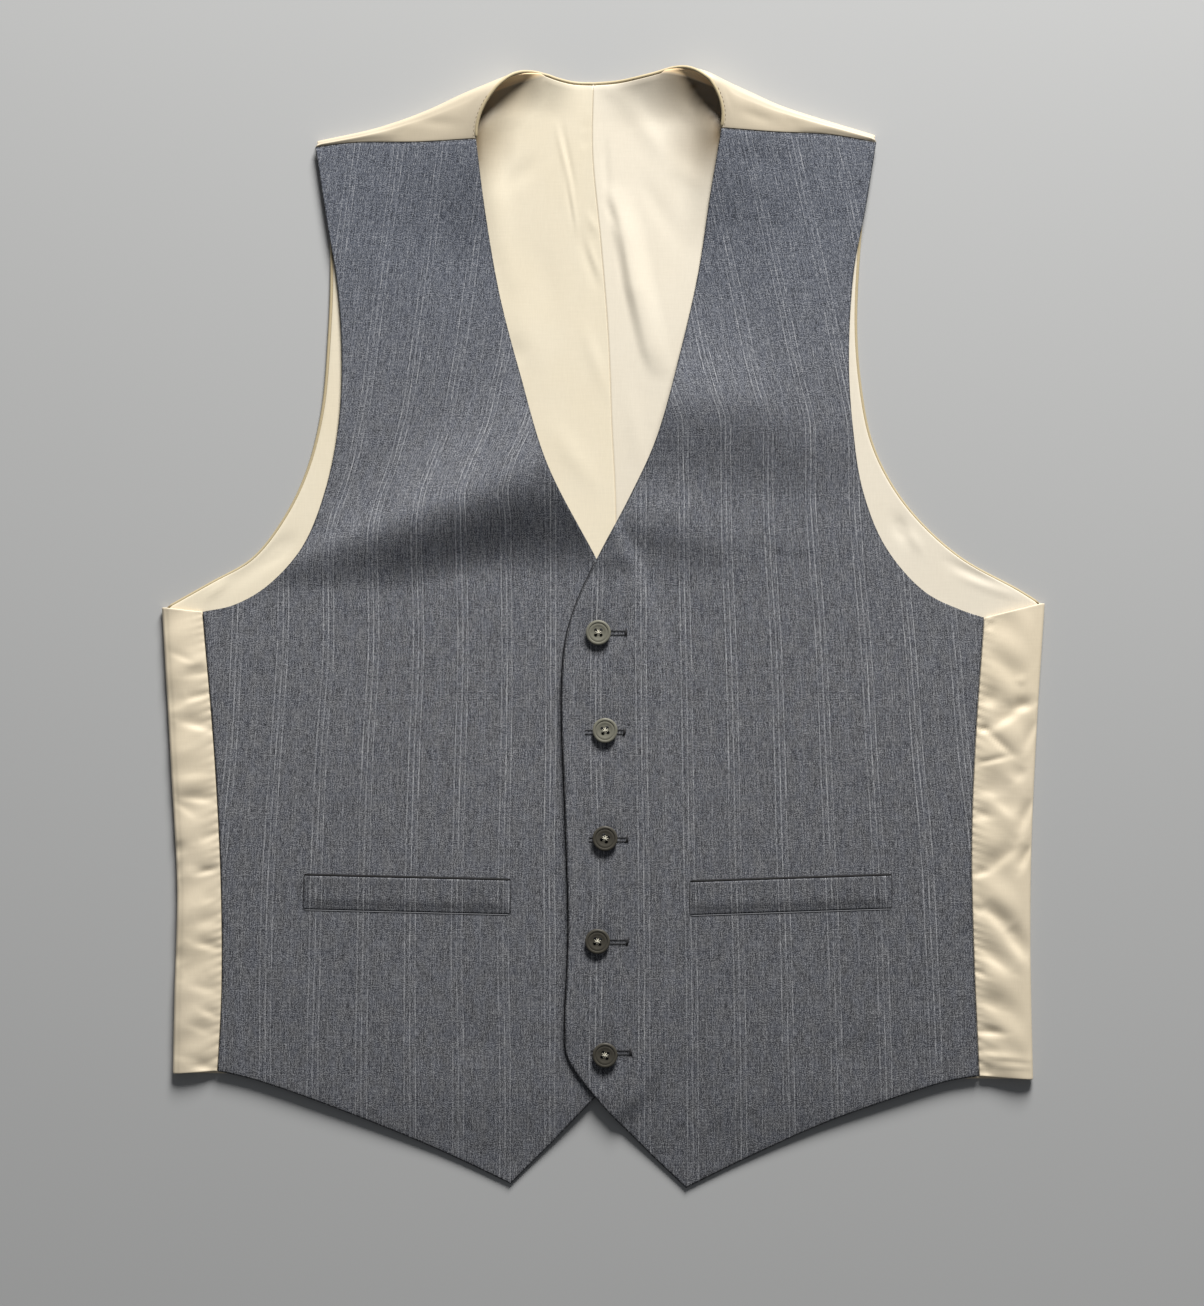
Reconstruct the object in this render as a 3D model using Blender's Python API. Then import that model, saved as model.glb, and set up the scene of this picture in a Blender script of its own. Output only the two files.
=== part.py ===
"""A suit waistcoat laid flat, face up, with its five buttons fastened.

The satin back lies on the ground with its lining on it. At each side the back folds forward to the side
seam, and at each shoulder it folds over to the shoulder seam. The two worsted fronts lie on top, the left
one over the right, with a welt pocket on each. X runs towards the wearer's left, Y towards the neck and
Z up from the ground. Tables and sizes are in millimetres.
"""

import math
from dataclasses import dataclass

import bmesh
import bpy
import numpy as np

MM = 0.001

# Walls, and the gap that neighbouring pieces keep.
BACK_WALL = 1.0
LINING_WALL = 1.0
FRONT_WALL = 2.0
WELT_WALL = 1.2
GAP = 0.3
LINING_FLOOR = BACK_WALL + GAP
FRONT_FLOOR = LINING_FLOOR + LINING_WALL + GAP
OVERLAP_STEP = FRONT_WALL + GAP

# The back's edge stands in the middle of the front's edge at the side and shoulder seams.
SEAM_RISE = FRONT_FLOOR + (FRONT_WALL + BACK_WALL) / 2
SIDE_FOLD_RADIUS = 2.6
SIDE_STRIP_CROWN = 1.2
SHOULDER_STRIP_CROWN = 0.8
NECK_BOW = 3.5

# At the neck the shoulder fold is wider than it is deep, and runs askew: from its middle, it starts towards
# the neck and ends towards the shoulder. Both die out along the first third of the shoulder.
NECK_SKEW = (12.0, -2.5)
NECK_FLATTENING = 0.25

# The lining stops short of the back's edges.
LINING_INSET = 1.5
LINING_HEM_INSET = 7.0

# How far the shoulders stand up where the back folds over: columns are the distance from the shoulder tip
# along the seam and the lift there. The lift dies out below the seam.
SHOULDER_LIFT = np.array([(0.0, 0.0), (45.0, 2.0), (97.0, 7.0)])
SHOULDER_FALL = 75.0

# The fronts hang past the back's hem and settle onto the ground.
SETTLE_START = -274.0
SETTLE_LENGTH = 55.0

# The left front comes down from the right front's edge outside this margin.
STEP_MARGIN = 16.0
STEP_FALL = 8.0

# Mesh density.
SPLINE_STEPS = 14
ARMHOLE_ROWS = 23
SIDE_ROWS = 17
FRONT_COLUMNS = 15
BACK_SIDE_ROWS = 11
BACK_ARMHOLE_ROWS = 20
NECK_COLUMNS = 4
SHOULDER_COLUMNS = 7
FOLD_STEPS = 6
SIDE_STRIP_STEPS = 4
SHOULDER_STRIP_STEPS = 3
LINING_ROWS = 28
LINING_COLUMNS = 10
LINING_CROWDING = 1.5
WELT_COLUMNS = 12
WELT_ROWS = 3

# Buttons: 24-line, dished, four holes. Profile columns are radius and height.
BUTTON_SEGMENTS = 20
BUTTON_PROFILE = [(5.4, 0.0), (7.5, 1.0), (7.5, 1.9), (6.9, 2.5), (6.2, 2.4), (5.0, 1.7)]
BUTTON_DISH_HEIGHT = 1.6
BUTTON_HOLE_RADIUS = 1.0
BUTTON_HOLE_OFFSET = 1.7
BUTTON_HOLE_SEGMENTS = 6
CUTTER_REACH = 4.0
BUTTON_CENTRES = [(-3.0, -3.0), (1.0, -61.5), (1.0, -126.0), (-3.5, -187.5), (1.0, -255.5)]


@dataclass(frozen=True)
class Half:
    """One half of the waistcoat. Each outline is a table with the columns x and y."""

    name: str
    sign: int
    # Front: the seams and edges of the worsted piece.
    shoulder_seam: list
    armhole: list
    side_seam: list
    hem: list
    front_edge: list
    # Back: the edges of the satin piece as it lies folded.
    back_armhole: list
    side_fold: list
    shoulder_fold: list
    neck: list
    # The soft fold across the chest, with the columns x, y, height, width above and width below.
    chest_fold: list
    # The welt's corners: upper inner, upper outer, lower inner, lower outer.
    welt: list


RIGHT = Half(
    name="right",
    sign=-1,
    shoulder_seam=[(-172.5, 287.5), (-150.0, 290.0), (-110.0, 290.0), (-76.0, 291.5)],
    armhole=[
        (-172.5, 287.5), (-166.0, 244.5), (-160.0, 205.0), (-157.5, 160.5), (-159.5, 121.0),
        (-167.0, 81.0), (-181.0, 47.0), (-202.0, 24.5), (-221.5, 13.5), (-240.0, 9.5),
    ],
    side_seam=[(-240.0, 9.5), (-233.0, -73.5), (-229.0, -150.0), (-228.5, -217.0), (-231.0, -265.5)],
    hem=[(-231.0, -265.5), (-208.5, -271.0), (-161.5, -287.5), (-103.5, -311.0), (-55.5, -333.5)],
    front_edge=[
        (-76.0, 291.5), (-70.5, 248.0), (-62.0, 199.0), (-49.5, 151.0), (-33.0, 96.5), (-4.0, 41.0),
        (9.0, 14.0), (16.5, -10.0), (19.0, -44.0), (19.5, -150.0), (19.5, -244.0), (12.5, -263.5),
        (-5.0, -281.5), (-32.5, -310.5), (-55.5, -333.5),
    ],
    back_armhole=[
        (-170.5, 287.5), (-164.5, 250.0), (-163.5, 215.0), (-165.0, 174.5), (-169.0, 130.0),
        (-178.0, 94.0), (-192.0, 65.0), (-211.0, 41.0), (-236.0, 26.5), (-262.0, 12.5),
    ],
    side_fold=[(-264.5, 12.0), (-259.0, -85.5), (-255.5, -157.5), (-257.0, -217.5), (-258.0, -267.0)],
    shoulder_fold=[(-51.0, 333.0), (-67.5, 326.5), (-84.0, 319.5), (-106.0, 309.5), (-135.0, 299.5), (-171.5, 291.5)],
    neck=[(-6.0, 326.5), (-18.5, 327.0), (-28.0, 329.0)],
    chest_fold=[
        (-181.0, 44.0, 3.0, 40.0, 26.0), (-161.0, 50.0, 4.5, 42.0, 28.0), (-122.0, 70.5, 6.5, 48.0, 32.0),
        (-80.0, 85.5, 8.5, 52.0, 36.0), (-38.0, 97.5, 10.0, 58.0, 44.0),
    ],
    welt=[(-55.5, -151.5), (-179.0, -148.5), (-56.0, -171.0), (-179.5, -168.0)],
)

LEFT = Half(
    name="left",
    sign=1,
    shoulder_seam=[(163.5, 290.5), (133.5, 295.0), (103.0, 296.0), (70.5, 298.0)],
    armhole=[
        (163.5, 290.5), (157.0, 250.5), (150.0, 213.5), (147.0, 160.5), (149.5, 118.5),
        (155.5, 82.0), (169.0, 48.5), (192.5, 21.5), (214.5, 10.5), (228.0, 6.0),
    ],
    side_seam=[(228.0, 6.0), (222.5, -73.5), (220.5, -133.5), (222.0, -200.0), (225.0, -268.5)],
    hem=[(225.0, -268.5), (205.5, -272.0), (174.0, -282.0), (130.0, -298.0), (82.0, -320.0), (49.5, -336.0)],
    front_edge=[
        (70.5, 298.0), (64.0, 260.0), (57.0, 213.5), (46.5, 167.0), (31.5, 113.0), (16.0, 79.0),
        (-4.0, 41.0), (-16.5, 13.5), (-23.0, -10.0), (-25.0, -45.0), (-23.0, -107.0), (-21.0, -182.0),
        (-23.0, -236.5), (-22.0, -256.0), (-5.0, -281.0), (26.5, -314.0), (49.5, -336.0),
    ],
    back_armhole=[
        (162.0, 291.5), (157.0, 258.0), (154.0, 228.0), (152.0, 180.5), (154.5, 145.5),
        (161.0, 112.0), (173.0, 86.0), (190.0, 63.5), (215.5, 41.0), (249.0, 22.5), (262.0, 15.0),
    ],
    side_fold=[(264.5, 14.5), (260.0, -55.5), (256.5, -133.5), (256.0, -193.5), (257.5, -270.5)],
    shoulder_fold=[(50.0, 336.0), (58.0, 334.0), (66.0, 330.5), (87.0, 321.0), (106.5, 312.5), (163.0, 295.0)],
    neck=[(-6.0, 326.5), (10.0, 327.5), (27.5, 331.0)],
    chest_fold=[
        (38.0, 136.0, 3.5, 42.0, 28.0), (88.0, 133.5, 5.0, 44.0, 30.0),
        (136.0, 118.5, 3.5, 40.0, 28.0), (150.0, 114.0, 3.0, 36.0, 26.0),
    ],
    welt=[(52.0, -152.5), (172.5, -148.5), (52.0, -171.5), (172.5, -167.5)],
)

# Centre-back seam, hem to neck.
CENTRE_SEAM = [
    (0.0, -269.5), (2.0, -100.0), (7.5, 61.0), (5.0, 123.5), (3.0, 174.5), (-1.5, 231.0), (-6.5, 285.0), (-6.0, 326.5),
]

# The deepest crease of the lining inside the neck: columns x, y, height.
LINING_CREASE = [(1.0, 262.0, 0.0), (8.0, 235.0, 2.5), (16.0, 200.0, 3.2), (24.0, 165.0, 1.2), (28.0, 152.0, 0.0)]
CREASE_WIDTH = 13.0

# Colour (linear RGB), roughness and metallic value of each finish.
WORSTED = ("worsted", (0.135, 0.140, 0.158), 0.82, 0.0)
WELT_WORSTED = ("welt_worsted", (0.130, 0.135, 0.150), 0.82, 0.0)
BACK_SATIN = ("back_satin", (0.78, 0.72, 0.58), 0.42, 0.0)
LINING_SATIN = ("lining_satin", (0.82, 0.77, 0.64), 0.40, 0.0)
BUTTON_HORN = ("button_horn", (0.070, 0.068, 0.050), 0.30, 0.0)


def clear_scene():
    for scene_object in list(bpy.data.objects):
        bpy.data.objects.remove(scene_object)


def material(finish, piece):
    name, colour, roughness, metallic = finish
    made = bpy.data.materials.new(f"{name}_{piece}")
    made.use_nodes = True
    shader = made.node_tree.nodes["Principled BSDF"]
    shader.inputs["Base Color"].default_value = (*colour, 1.0)
    shader.inputs["Roughness"].default_value = roughness
    shader.inputs["Metallic"].default_value = metallic
    return made


def ease(value):
    """A soft step from 0 to 1."""
    value = np.clip(value, 0.0, 1.0)
    return value * value * (3.0 - 2.0 * value)


def smooth_line(table):
    """A dense line through the table's points, a cubic from each point to the next."""
    points = np.array(table, float)
    ends = np.vstack([2 * points[0] - points[1], points, 2 * points[-1] - points[-2]])
    steps = np.sqrt(np.linalg.norm(np.diff(ends, axis=0), axis=1))
    times = np.concatenate([[0.0], np.cumsum(steps)])
    line = []
    for start in range(1, len(ends) - 2):
        a, b, c, d = ends[start - 1 : start + 3]
        ta, tb, tc, td = times[start - 1 : start + 3]
        for t in np.linspace(tb, tc, SPLINE_STEPS, endpoint=False):
            ab = ((tb - t) * a + (t - ta) * b) / (tb - ta)
            bc = ((tc - t) * b + (t - tb) * c) / (tc - tb)
            cd = ((td - t) * c + (t - tc) * d) / (td - tc)
            abc = ((tc - t) * ab + (t - ta) * bc) / (tc - ta)
            bcd = ((td - t) * bc + (t - tb) * cd) / (td - tb)
            line.append(((tc - t) * abc + (t - tb) * bcd) / (tc - tb))
    line.append(points[-1])
    return np.array(line)


def lengths(line):
    return np.concatenate([[0.0], np.cumsum(np.linalg.norm(np.diff(line, axis=0), axis=1))])


def along(line, fractions):
    """The points at these fractions of the line's length."""
    measured = lengths(line)
    places = np.asarray(fractions) * measured[-1]
    return np.stack([np.interp(places, measured, column) for column in line.T], axis=-1)


def stops(first, second, corner):
    """Fractions with the given numbers of steps before and after a corner."""
    return np.concatenate([np.linspace(0.0, corner, first + 1), np.linspace(corner, 1.0, second + 1)[1:]])


def crossing(line, level):
    """The fraction of the line's length where it first comes down to this y."""
    first = int(np.argmax(line[:, 1] <= level))
    above, below = line[first - 1], line[first]
    part = (above[1] - level) / (above[1] - below[1])
    measured = lengths(line)
    return (measured[first - 1] + part * (measured[first] - measured[first - 1])) / measured[-1]


def fill(outer, inner, first, last):
    """A grid of points between four edges. outer and inner run along the rows' ends; first and last are the end rows."""
    rows, columns = len(outer), len(first)
    across = np.linspace(0.0, 1.0, columns)[None, :, None]
    down = np.linspace(0.0, 1.0, rows)[:, None, None]
    ruled = (1 - across) * outer[:, None] + across * inner[:, None]
    first_bend = first[None] - ruled[:1]
    last_bend = last[None] - ruled[-1:]
    return ruled + (1 - down) ** 2 * first_bend + down**2 * last_bend


def raised(plan, heights):
    """Plan points with their heights."""
    return np.concatenate([plan, np.asarray(heights)[..., None]], axis=-1)


class Wall:
    """A cloth wall: matching outer and inner points, joined by quads and closed along its free edges."""

    def __init__(self):
        self.outer = []
        self.inner = []
        self.quads = []

    def add_points(self, outer, inner):
        start = len(self.outer)
        self.outer.extend(outer.reshape(-1, 3))
        self.inner.extend(inner.reshape(-1, 3))
        return start + np.arange(outer.shape[0] * outer.shape[1]).reshape(outer.shape[:2])

    def add_quads(self, index):
        for row, below in zip(index[:-1], index[1:]):
            self.quads.extend(zip(row[:-1], row[1:], below[1:], below[:-1]))

    def faces(self):
        count = len(self.outer)
        sides = {}
        for quad in self.quads:
            for start, end in zip(quad, quad[1:] + quad[:1]):
                sides[start, end] = True
        rim = [(b, a, a + count, b + count) for a, b in sides if (b, a) not in sides]
        lower = [tuple(corner + count for corner in reversed(quad)) for quad in self.quads]
        return self.quads + lower + rim

    def make(self, name, finish):
        points = np.array(self.outer + self.inner) * MM
        mesh = bpy.data.meshes.new(name)
        mesh.from_pydata(points.tolist(), [], [tuple(map(int, face)) for face in self.faces()])
        form = bmesh.new()
        form.from_mesh(mesh)
        bmesh.ops.recalc_face_normals(form, faces=form.faces)
        form.to_mesh(mesh)
        form.free()
        return place(name, mesh, finish)


def place(name, mesh, finish):
    mesh.shade_smooth()
    mesh.set_sharp_from_angle(angle=math.radians(40))
    mesh.materials.append(material(finish, name))
    made = bpy.data.objects.new(name, mesh)
    bpy.context.scene.collection.objects.link(made)
    return made


def flat_sheet(name, plan, floor, wall, finish):
    """A piece whose wall stands straight up from its underside."""
    sheet = Wall()
    sheet.add_quads(sheet.add_points(raised(plan, floor + wall), raised(plan, floor)))
    return sheet.make(name, finish)


# --- The fronts -------------------------------------------------------------------------------------------


def column(table, number):
    return np.array(table, float)[:, number]


def chest_fold(half, x, y):
    """Height of the fold across the chest, which climbs slowly from the neck side and drops on the hem side."""
    order = np.argsort(column(half.chest_fold, 0))
    stations = column(half.chest_fold, 0)[order]
    crest, height, above, below = (
        np.interp(x, stations, column(half.chest_fold, number)[order]) for number in (1, 2, 3, 4)
    )
    past = y - crest
    return height * ease(1 - np.where(past > 0, past / above, -past / below))


def shoulder_lift(half, x, y):
    tip = half.shoulder_seam[0]
    seam = smooth_line(half.shoulder_seam)
    order = np.argsort(seam[:, 0])
    seam_y = np.interp(x, seam[order, 0], seam[order, 1])
    lift = np.interp(np.abs(x - tip[0]), SHOULDER_LIFT[:, 0], SHOULDER_LIFT[:, 1])
    return lift * ease(1 - (seam_y - y) / SHOULDER_FALL)


def settling(y):
    """How far a front sinks past the back's hem."""
    return -FRONT_FLOOR * ease((SETTLE_START - y) / SETTLE_LENGTH)


def beyond_right_front(x, y):
    """How far a point lies outside the right front's front edge, 0 inside it."""
    edge = smooth_line(RIGHT.front_edge)
    falling = np.argsort(-edge[:, 1], kind="stable")
    outside = x > np.interp(-y, -edge[falling, 1], edge[falling, 0])
    distance = np.min(np.hypot(x[..., None] - edge[:, 0], y[..., None] - edge[:, 1]), axis=-1)
    return np.where(outside, distance, 0.0)


def front_floor(half, x, y):
    """Height of a front's underside."""
    lying = FRONT_FLOOR + settling(y) + shoulder_lift(half, x, y) + chest_fold(half, x, y)
    if half is RIGHT:
        return lying
    return lying + OVERLAP_STEP * ease(1 - (beyond_right_front(x, y) - STEP_MARGIN) / STEP_FALL)


def front_plan(half):
    """The front's rows run from the armhole and side seam to the front edge, shoulder to hem."""
    armhole, side = smooth_line(half.armhole), smooth_line(half.side_seam)
    edge = smooth_line(half.front_edge)
    outer = np.vstack([
        along(armhole, np.linspace(0, 1, ARMHOLE_ROWS + 1)),
        along(side, np.linspace(0, 1, SIDE_ROWS + 1))[1:],
    ])
    inner = along(edge, stops(ARMHOLE_ROWS, SIDE_ROWS, crossing(edge, side[0, 1])))
    across = np.linspace(0, 1, FRONT_COLUMNS + 1)
    return fill(outer, inner, along(smooth_line(half.shoulder_seam), across), along(smooth_line(half.hem), across))


def make_front(half):
    plan = front_plan(half)
    floor = front_floor(half, plan[..., 0], plan[..., 1])
    return flat_sheet(f"front_{half.name}", plan, floor, FRONT_WALL, WORSTED)


def make_welt(half):
    """A welt lies on its front, made from the front's surface moved out."""
    upper_inner, upper_outer, lower_inner, lower_outer = np.array(half.welt, float)
    across = np.linspace(0, 1, WELT_COLUMNS + 1)[None, :, None]
    down = np.linspace(0, 1, WELT_ROWS + 1)[:, None, None]
    upper = (1 - across) * upper_inner + across * upper_outer
    lower = (1 - across) * lower_inner + across * lower_outer
    plan = (1 - down) * upper + down * lower
    floor = front_floor(half, plan[..., 0], plan[..., 1]) + FRONT_WALL + GAP
    return flat_sheet(f"welt_{half.name}", plan, floor, WELT_WALL, WELT_WORSTED)


# --- The back ---------------------------------------------------------------------------------------------


def shoulder_radii(half):
    """The radius of the shoulder fold at each of its columns, neck to tip."""
    seam = along(smooth_line(half.shoulder_seam), np.linspace(1, 0, SHOULDER_COLUMNS + 1))
    rise = front_floor(half, seam[:, 0], seam[:, 1]) + (FRONT_WALL + BACK_WALL) / 2
    return rise / 2


def shoulder_frame(half):
    """Where the shoulder fold starts on the lying layer, its crest in plan, and where it ends above the layer."""
    fractions = np.linspace(0, 1, SHOULDER_COLUMNS + 1)
    fold = smooth_line(half.shoulder_fold)
    crest = along(fold, fractions)
    ahead = along(fold, np.clip(fractions + 0.02, 0, 1)) - along(fold, np.clip(fractions - 0.02, 0, 1))
    outward = np.stack([-ahead[:, 1], ahead[:, 0]], axis=-1) * half.sign
    outward /= np.linalg.norm(outward, axis=1, keepdims=True)
    near_neck = ease(1 - 3 * fractions)
    depth = shoulder_radii(half) * (1 - NECK_FLATTENING * near_neck)
    middle = crest - outward * depth[:, None]
    skew = near_neck[:, None] * np.array(NECK_SKEW) * (half.sign, 1)
    return middle - skew, crest, middle + skew


def back_plan(half):
    """The lying layer's rows run from the centre seam to the side fold and armhole, hem to shoulder."""
    centre = smooth_line(CENTRE_SEAM) + np.array([half.sign * GAP / 2, 0.0])
    fold_start, _, _ = shoulder_frame(half)
    side = smooth_line(half.side_fold) - np.array([half.sign * SIDE_FOLD_RADIUS, 0.0])
    armhole = smooth_line([side[0], *half.back_armhole[-2:0:-1], fold_start[-1]])
    outer = np.vstack([
        along(side, np.linspace(1, 0, BACK_SIDE_ROWS + 1)),
        along(armhole, np.linspace(0, 1, BACK_ARMHOLE_ROWS + 1))[1:],
    ])
    underarm = (side[0, 1] - centre[0, 1]) / (centre[-1, 1] - centre[0, 1])
    inner = along(centre, stops(BACK_SIDE_ROWS, BACK_ARMHOLE_ROWS, underarm))
    neck = along(smooth_line([inner[-1], *half.neck[1:], fold_start[0]]), np.linspace(0, 1, NECK_COLUMNS + 1))
    across = np.linspace(0, 1, NECK_COLUMNS + SHOULDER_COLUMNS + 1)[:, None]
    hem = (1 - across) * inner[0] + across * outer[0]
    return fill(inner, outer, hem, np.vstack([neck, fold_start[1:]]))


def side_wrap(half):
    """Outer and inner points of the side fold and the strip that runs forward to the side seam, hem to underarm."""
    fractions = np.linspace(1, 0, BACK_SIDE_ROWS + 1)
    fold = along(smooth_line(half.side_fold), fractions)
    seam = along(smooth_line(half.side_seam), fractions) + np.array([half.sign * GAP, 0.0])
    centre = fold - np.array([half.sign * SIDE_FOLD_RADIUS, 0.0])
    radii = np.full(len(fold), SIDE_FOLD_RADIUS)
    rise = np.full(len(fold), SEAM_RISE)
    return wrap(centre, fold, centre, radii, seam, rise, SIDE_STRIP_STEPS, SIDE_STRIP_CROWN)


def shoulder_wrap(half):
    """Outer and inner points of the shoulder fold and the strip that runs forward to the shoulder seam, neck to tip."""
    start, crest, end = shoulder_frame(half)
    radii = shoulder_radii(half)
    fractions = np.linspace(1, 0, SHOULDER_COLUMNS + 1)
    seam = along(smooth_line(half.shoulder_seam), fractions) + np.array([0.0, GAP])
    outer, inner = wrap(start, crest, end, radii, seam, 2 * radii, SHOULDER_STRIP_STEPS, SHOULDER_STRIP_CROWN)
    # The strip's neck edge bows away from the neck.
    bow = np.linspace(0, 1, SHOULDER_STRIP_STEPS + 1)[1:]
    for points in (outer, inner):
        points[0, FOLD_STEPS:, 0] += half.sign * NECK_BOW * 4 * bow * (1 - bow)
    return outer, inner


def wrap(start, crest, end, radii, seam, seam_rise, strip_steps, crown):
    """Sections through a fold: half a turn up from start over crest to end, then a crowned strip to the seam."""
    reach = crest - (start + end) / 2
    inner_reach = reach * (1 - BACK_WALL / np.linalg.norm(reach, axis=1, keepdims=True))
    outer, inner = [], []
    for angle in np.linspace(-math.pi / 2, math.pi / 2, FOLD_STEPS + 1)[1:]:
        turned = (1 + math.sin(angle)) / 2
        middle = (1 - turned) * start + turned * end
        outer.append(raised(middle + reach * math.cos(angle), radii * (1 + math.sin(angle))))
        inner.append(raised(middle + inner_reach * math.cos(angle), radii + (radii - BACK_WALL) * math.sin(angle)))
    for part in np.linspace(0, 1, strip_steps + 1)[1:]:
        plan = (1 - part) * end + part * seam
        top = (1 - part) * 2 * radii + part * seam_rise + crown * math.sin(math.pi * part)
        outer.append(raised(plan, top))
        inner.append(raised(plan, top - BACK_WALL))
    return np.stack(outer, axis=1), np.stack(inner, axis=1)


def make_back(half):
    plan = back_plan(half)
    ground = np.zeros(plan.shape[:2])
    back = Wall()
    lying = back.add_points(raised(plan, ground), raised(plan, ground + BACK_WALL))
    side = back.add_points(*side_wrap(half))
    shoulder = back.add_points(*shoulder_wrap(half))
    back.add_quads(lying)
    back.add_quads(np.hstack([lying[: BACK_SIDE_ROWS + 1, -1:], side]))
    back.add_quads(np.vstack([lying[-1:, NECK_COLUMNS:], shoulder.T]))
    return back.make(f"back_{half.name}", BACK_SATIN)


# --- The lining -------------------------------------------------------------------------------------------


def grid_at(plan, down, across):
    """Points of a grid at fractional rows and columns."""
    rows, columns = plan.shape[0] - 1, plan.shape[1] - 1
    row = np.clip(down * rows, 0, rows - 1e-9)
    column_at = np.clip(across * columns, 0, columns - 1e-9)
    i, j = row.astype(int), column_at.astype(int)
    s, t = (row - i)[..., None], (column_at - j)[..., None]
    near = (1 - t) * plan[i, j] + t * plan[i, j + 1]
    far = (1 - t) * plan[i + 1, j] + t * plan[i + 1, j + 1]
    return (1 - s) * near + s * far


def lining_crease(x, y):
    """Height of the long crease inside the neck."""
    table = np.array(LINING_CREASE[::-1])
    middle = np.interp(y, table[:, 1], table[:, 0])
    height = np.interp(y, table[:, 1], table[:, 2], left=0.0, right=0.0)
    return height * ease(1 - np.abs(x - middle) / CREASE_WIDTH)


def make_lining(half):
    """The lining follows the lying layer of the back, a little inside its edges."""
    plan = back_plan(half)
    length = np.linalg.norm(plan[-1, 0] - plan[0, 0])
    down = np.linspace(LINING_HEM_INSET / length, 1 - LINING_INSET / length, LINING_ROWS + 1)
    widths = np.linalg.norm(grid_at(plan, down, np.ones_like(down)) - grid_at(plan, down, np.zeros_like(down)), axis=1)
    across = np.linspace(0, 1, LINING_COLUMNS + 1) ** LINING_CROWDING
    columns = across[None] * (1 - LINING_INSET / widths)[:, None]
    plan = grid_at(plan, np.repeat(down[:, None], LINING_COLUMNS + 1, axis=1), columns)
    floor = LINING_FLOOR + lining_crease(plan[..., 0], plan[..., 1])
    return flat_sheet(f"back_lining_{half.name}", plan, floor, LINING_WALL, LINING_SATIN)


# --- The buttons ------------------------------------------------------------------------------------------


def button_mesh():
    """A dished disc turned from the profile, with a slightly hollow face."""
    form = bmesh.new()
    rings = []
    for radius, height in BUTTON_PROFILE:
        angles = [2 * math.pi * step / BUTTON_SEGMENTS for step in range(BUTTON_SEGMENTS)]
        rings.append([
            form.verts.new((radius * MM * math.cos(a), radius * MM * math.sin(a), height * MM)) for a in angles
        ])
    for lower, upper in zip(rings[:-1], rings[1:]):
        for here in range(BUTTON_SEGMENTS):
            after = (here + 1) % BUTTON_SEGMENTS
            form.faces.new((lower[here], lower[after], upper[after], upper[here]))
    form.faces.new(rings[0][::-1])
    dish = form.verts.new((0.0, 0.0, BUTTON_DISH_HEIGHT * MM))
    for here in range(BUTTON_SEGMENTS):
        form.faces.new((rings[-1][here], rings[-1][(here + 1) % BUTTON_SEGMENTS], dish))
    bmesh.ops.recalc_face_normals(form, faces=form.faces)
    mesh = bpy.data.meshes.new("button")
    form.to_mesh(mesh)
    form.free()
    return mesh


def hole_cutter():
    """Four pins that cut a button's holes."""
    form = bmesh.new()
    for x in (-BUTTON_HOLE_OFFSET, BUTTON_HOLE_OFFSET):
        for y in (-BUTTON_HOLE_OFFSET, BUTTON_HOLE_OFFSET):
            pin = bmesh.ops.create_cone(
                form, cap_ends=True, segments=BUTTON_HOLE_SEGMENTS, depth=2 * CUTTER_REACH * MM,
                radius1=BUTTON_HOLE_RADIUS * MM, radius2=BUTTON_HOLE_RADIUS * MM,
            )
            bmesh.ops.translate(form, verts=pin["verts"], vec=(x * MM, y * MM, 0.0))
    mesh = bpy.data.meshes.new("button_holes")
    form.to_mesh(mesh)
    form.free()
    return mesh


def make_buttons():
    pins = hole_cutter()
    for number, (x, y) in enumerate(BUTTON_CENTRES, start=1):
        floor = float(front_floor(LEFT, np.array(x), np.array(y))) + FRONT_WALL + GAP
        button = place(f"button_{number}", button_mesh(), BUTTON_HORN)
        button.location = (x * MM, y * MM, floor * MM)
        cutter = bpy.data.objects.new(f"button_{number}_holes", pins)
        bpy.context.scene.collection.objects.link(cutter)
        cutter.parent = button
        cutter.hide_render = True
        cutter.display_type = "WIRE"
        holes = button.modifiers.new("holes", "BOOLEAN")
        holes.operation = "DIFFERENCE"
        holes.object = cutter


clear_scene()
for half in (RIGHT, LEFT):
    make_back(half)
    make_lining(half)
    make_front(half)
    make_welt(half)
make_buttons()
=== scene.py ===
"""The finish of a suit waistcoat that lies flat, face up, with its five buttons fastened.

X runs towards the wearer's left, Y towards the neck and Z up from the ground. Tables and sizes are in
millimetres, and meshes are made in metres.
"""

import math

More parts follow.
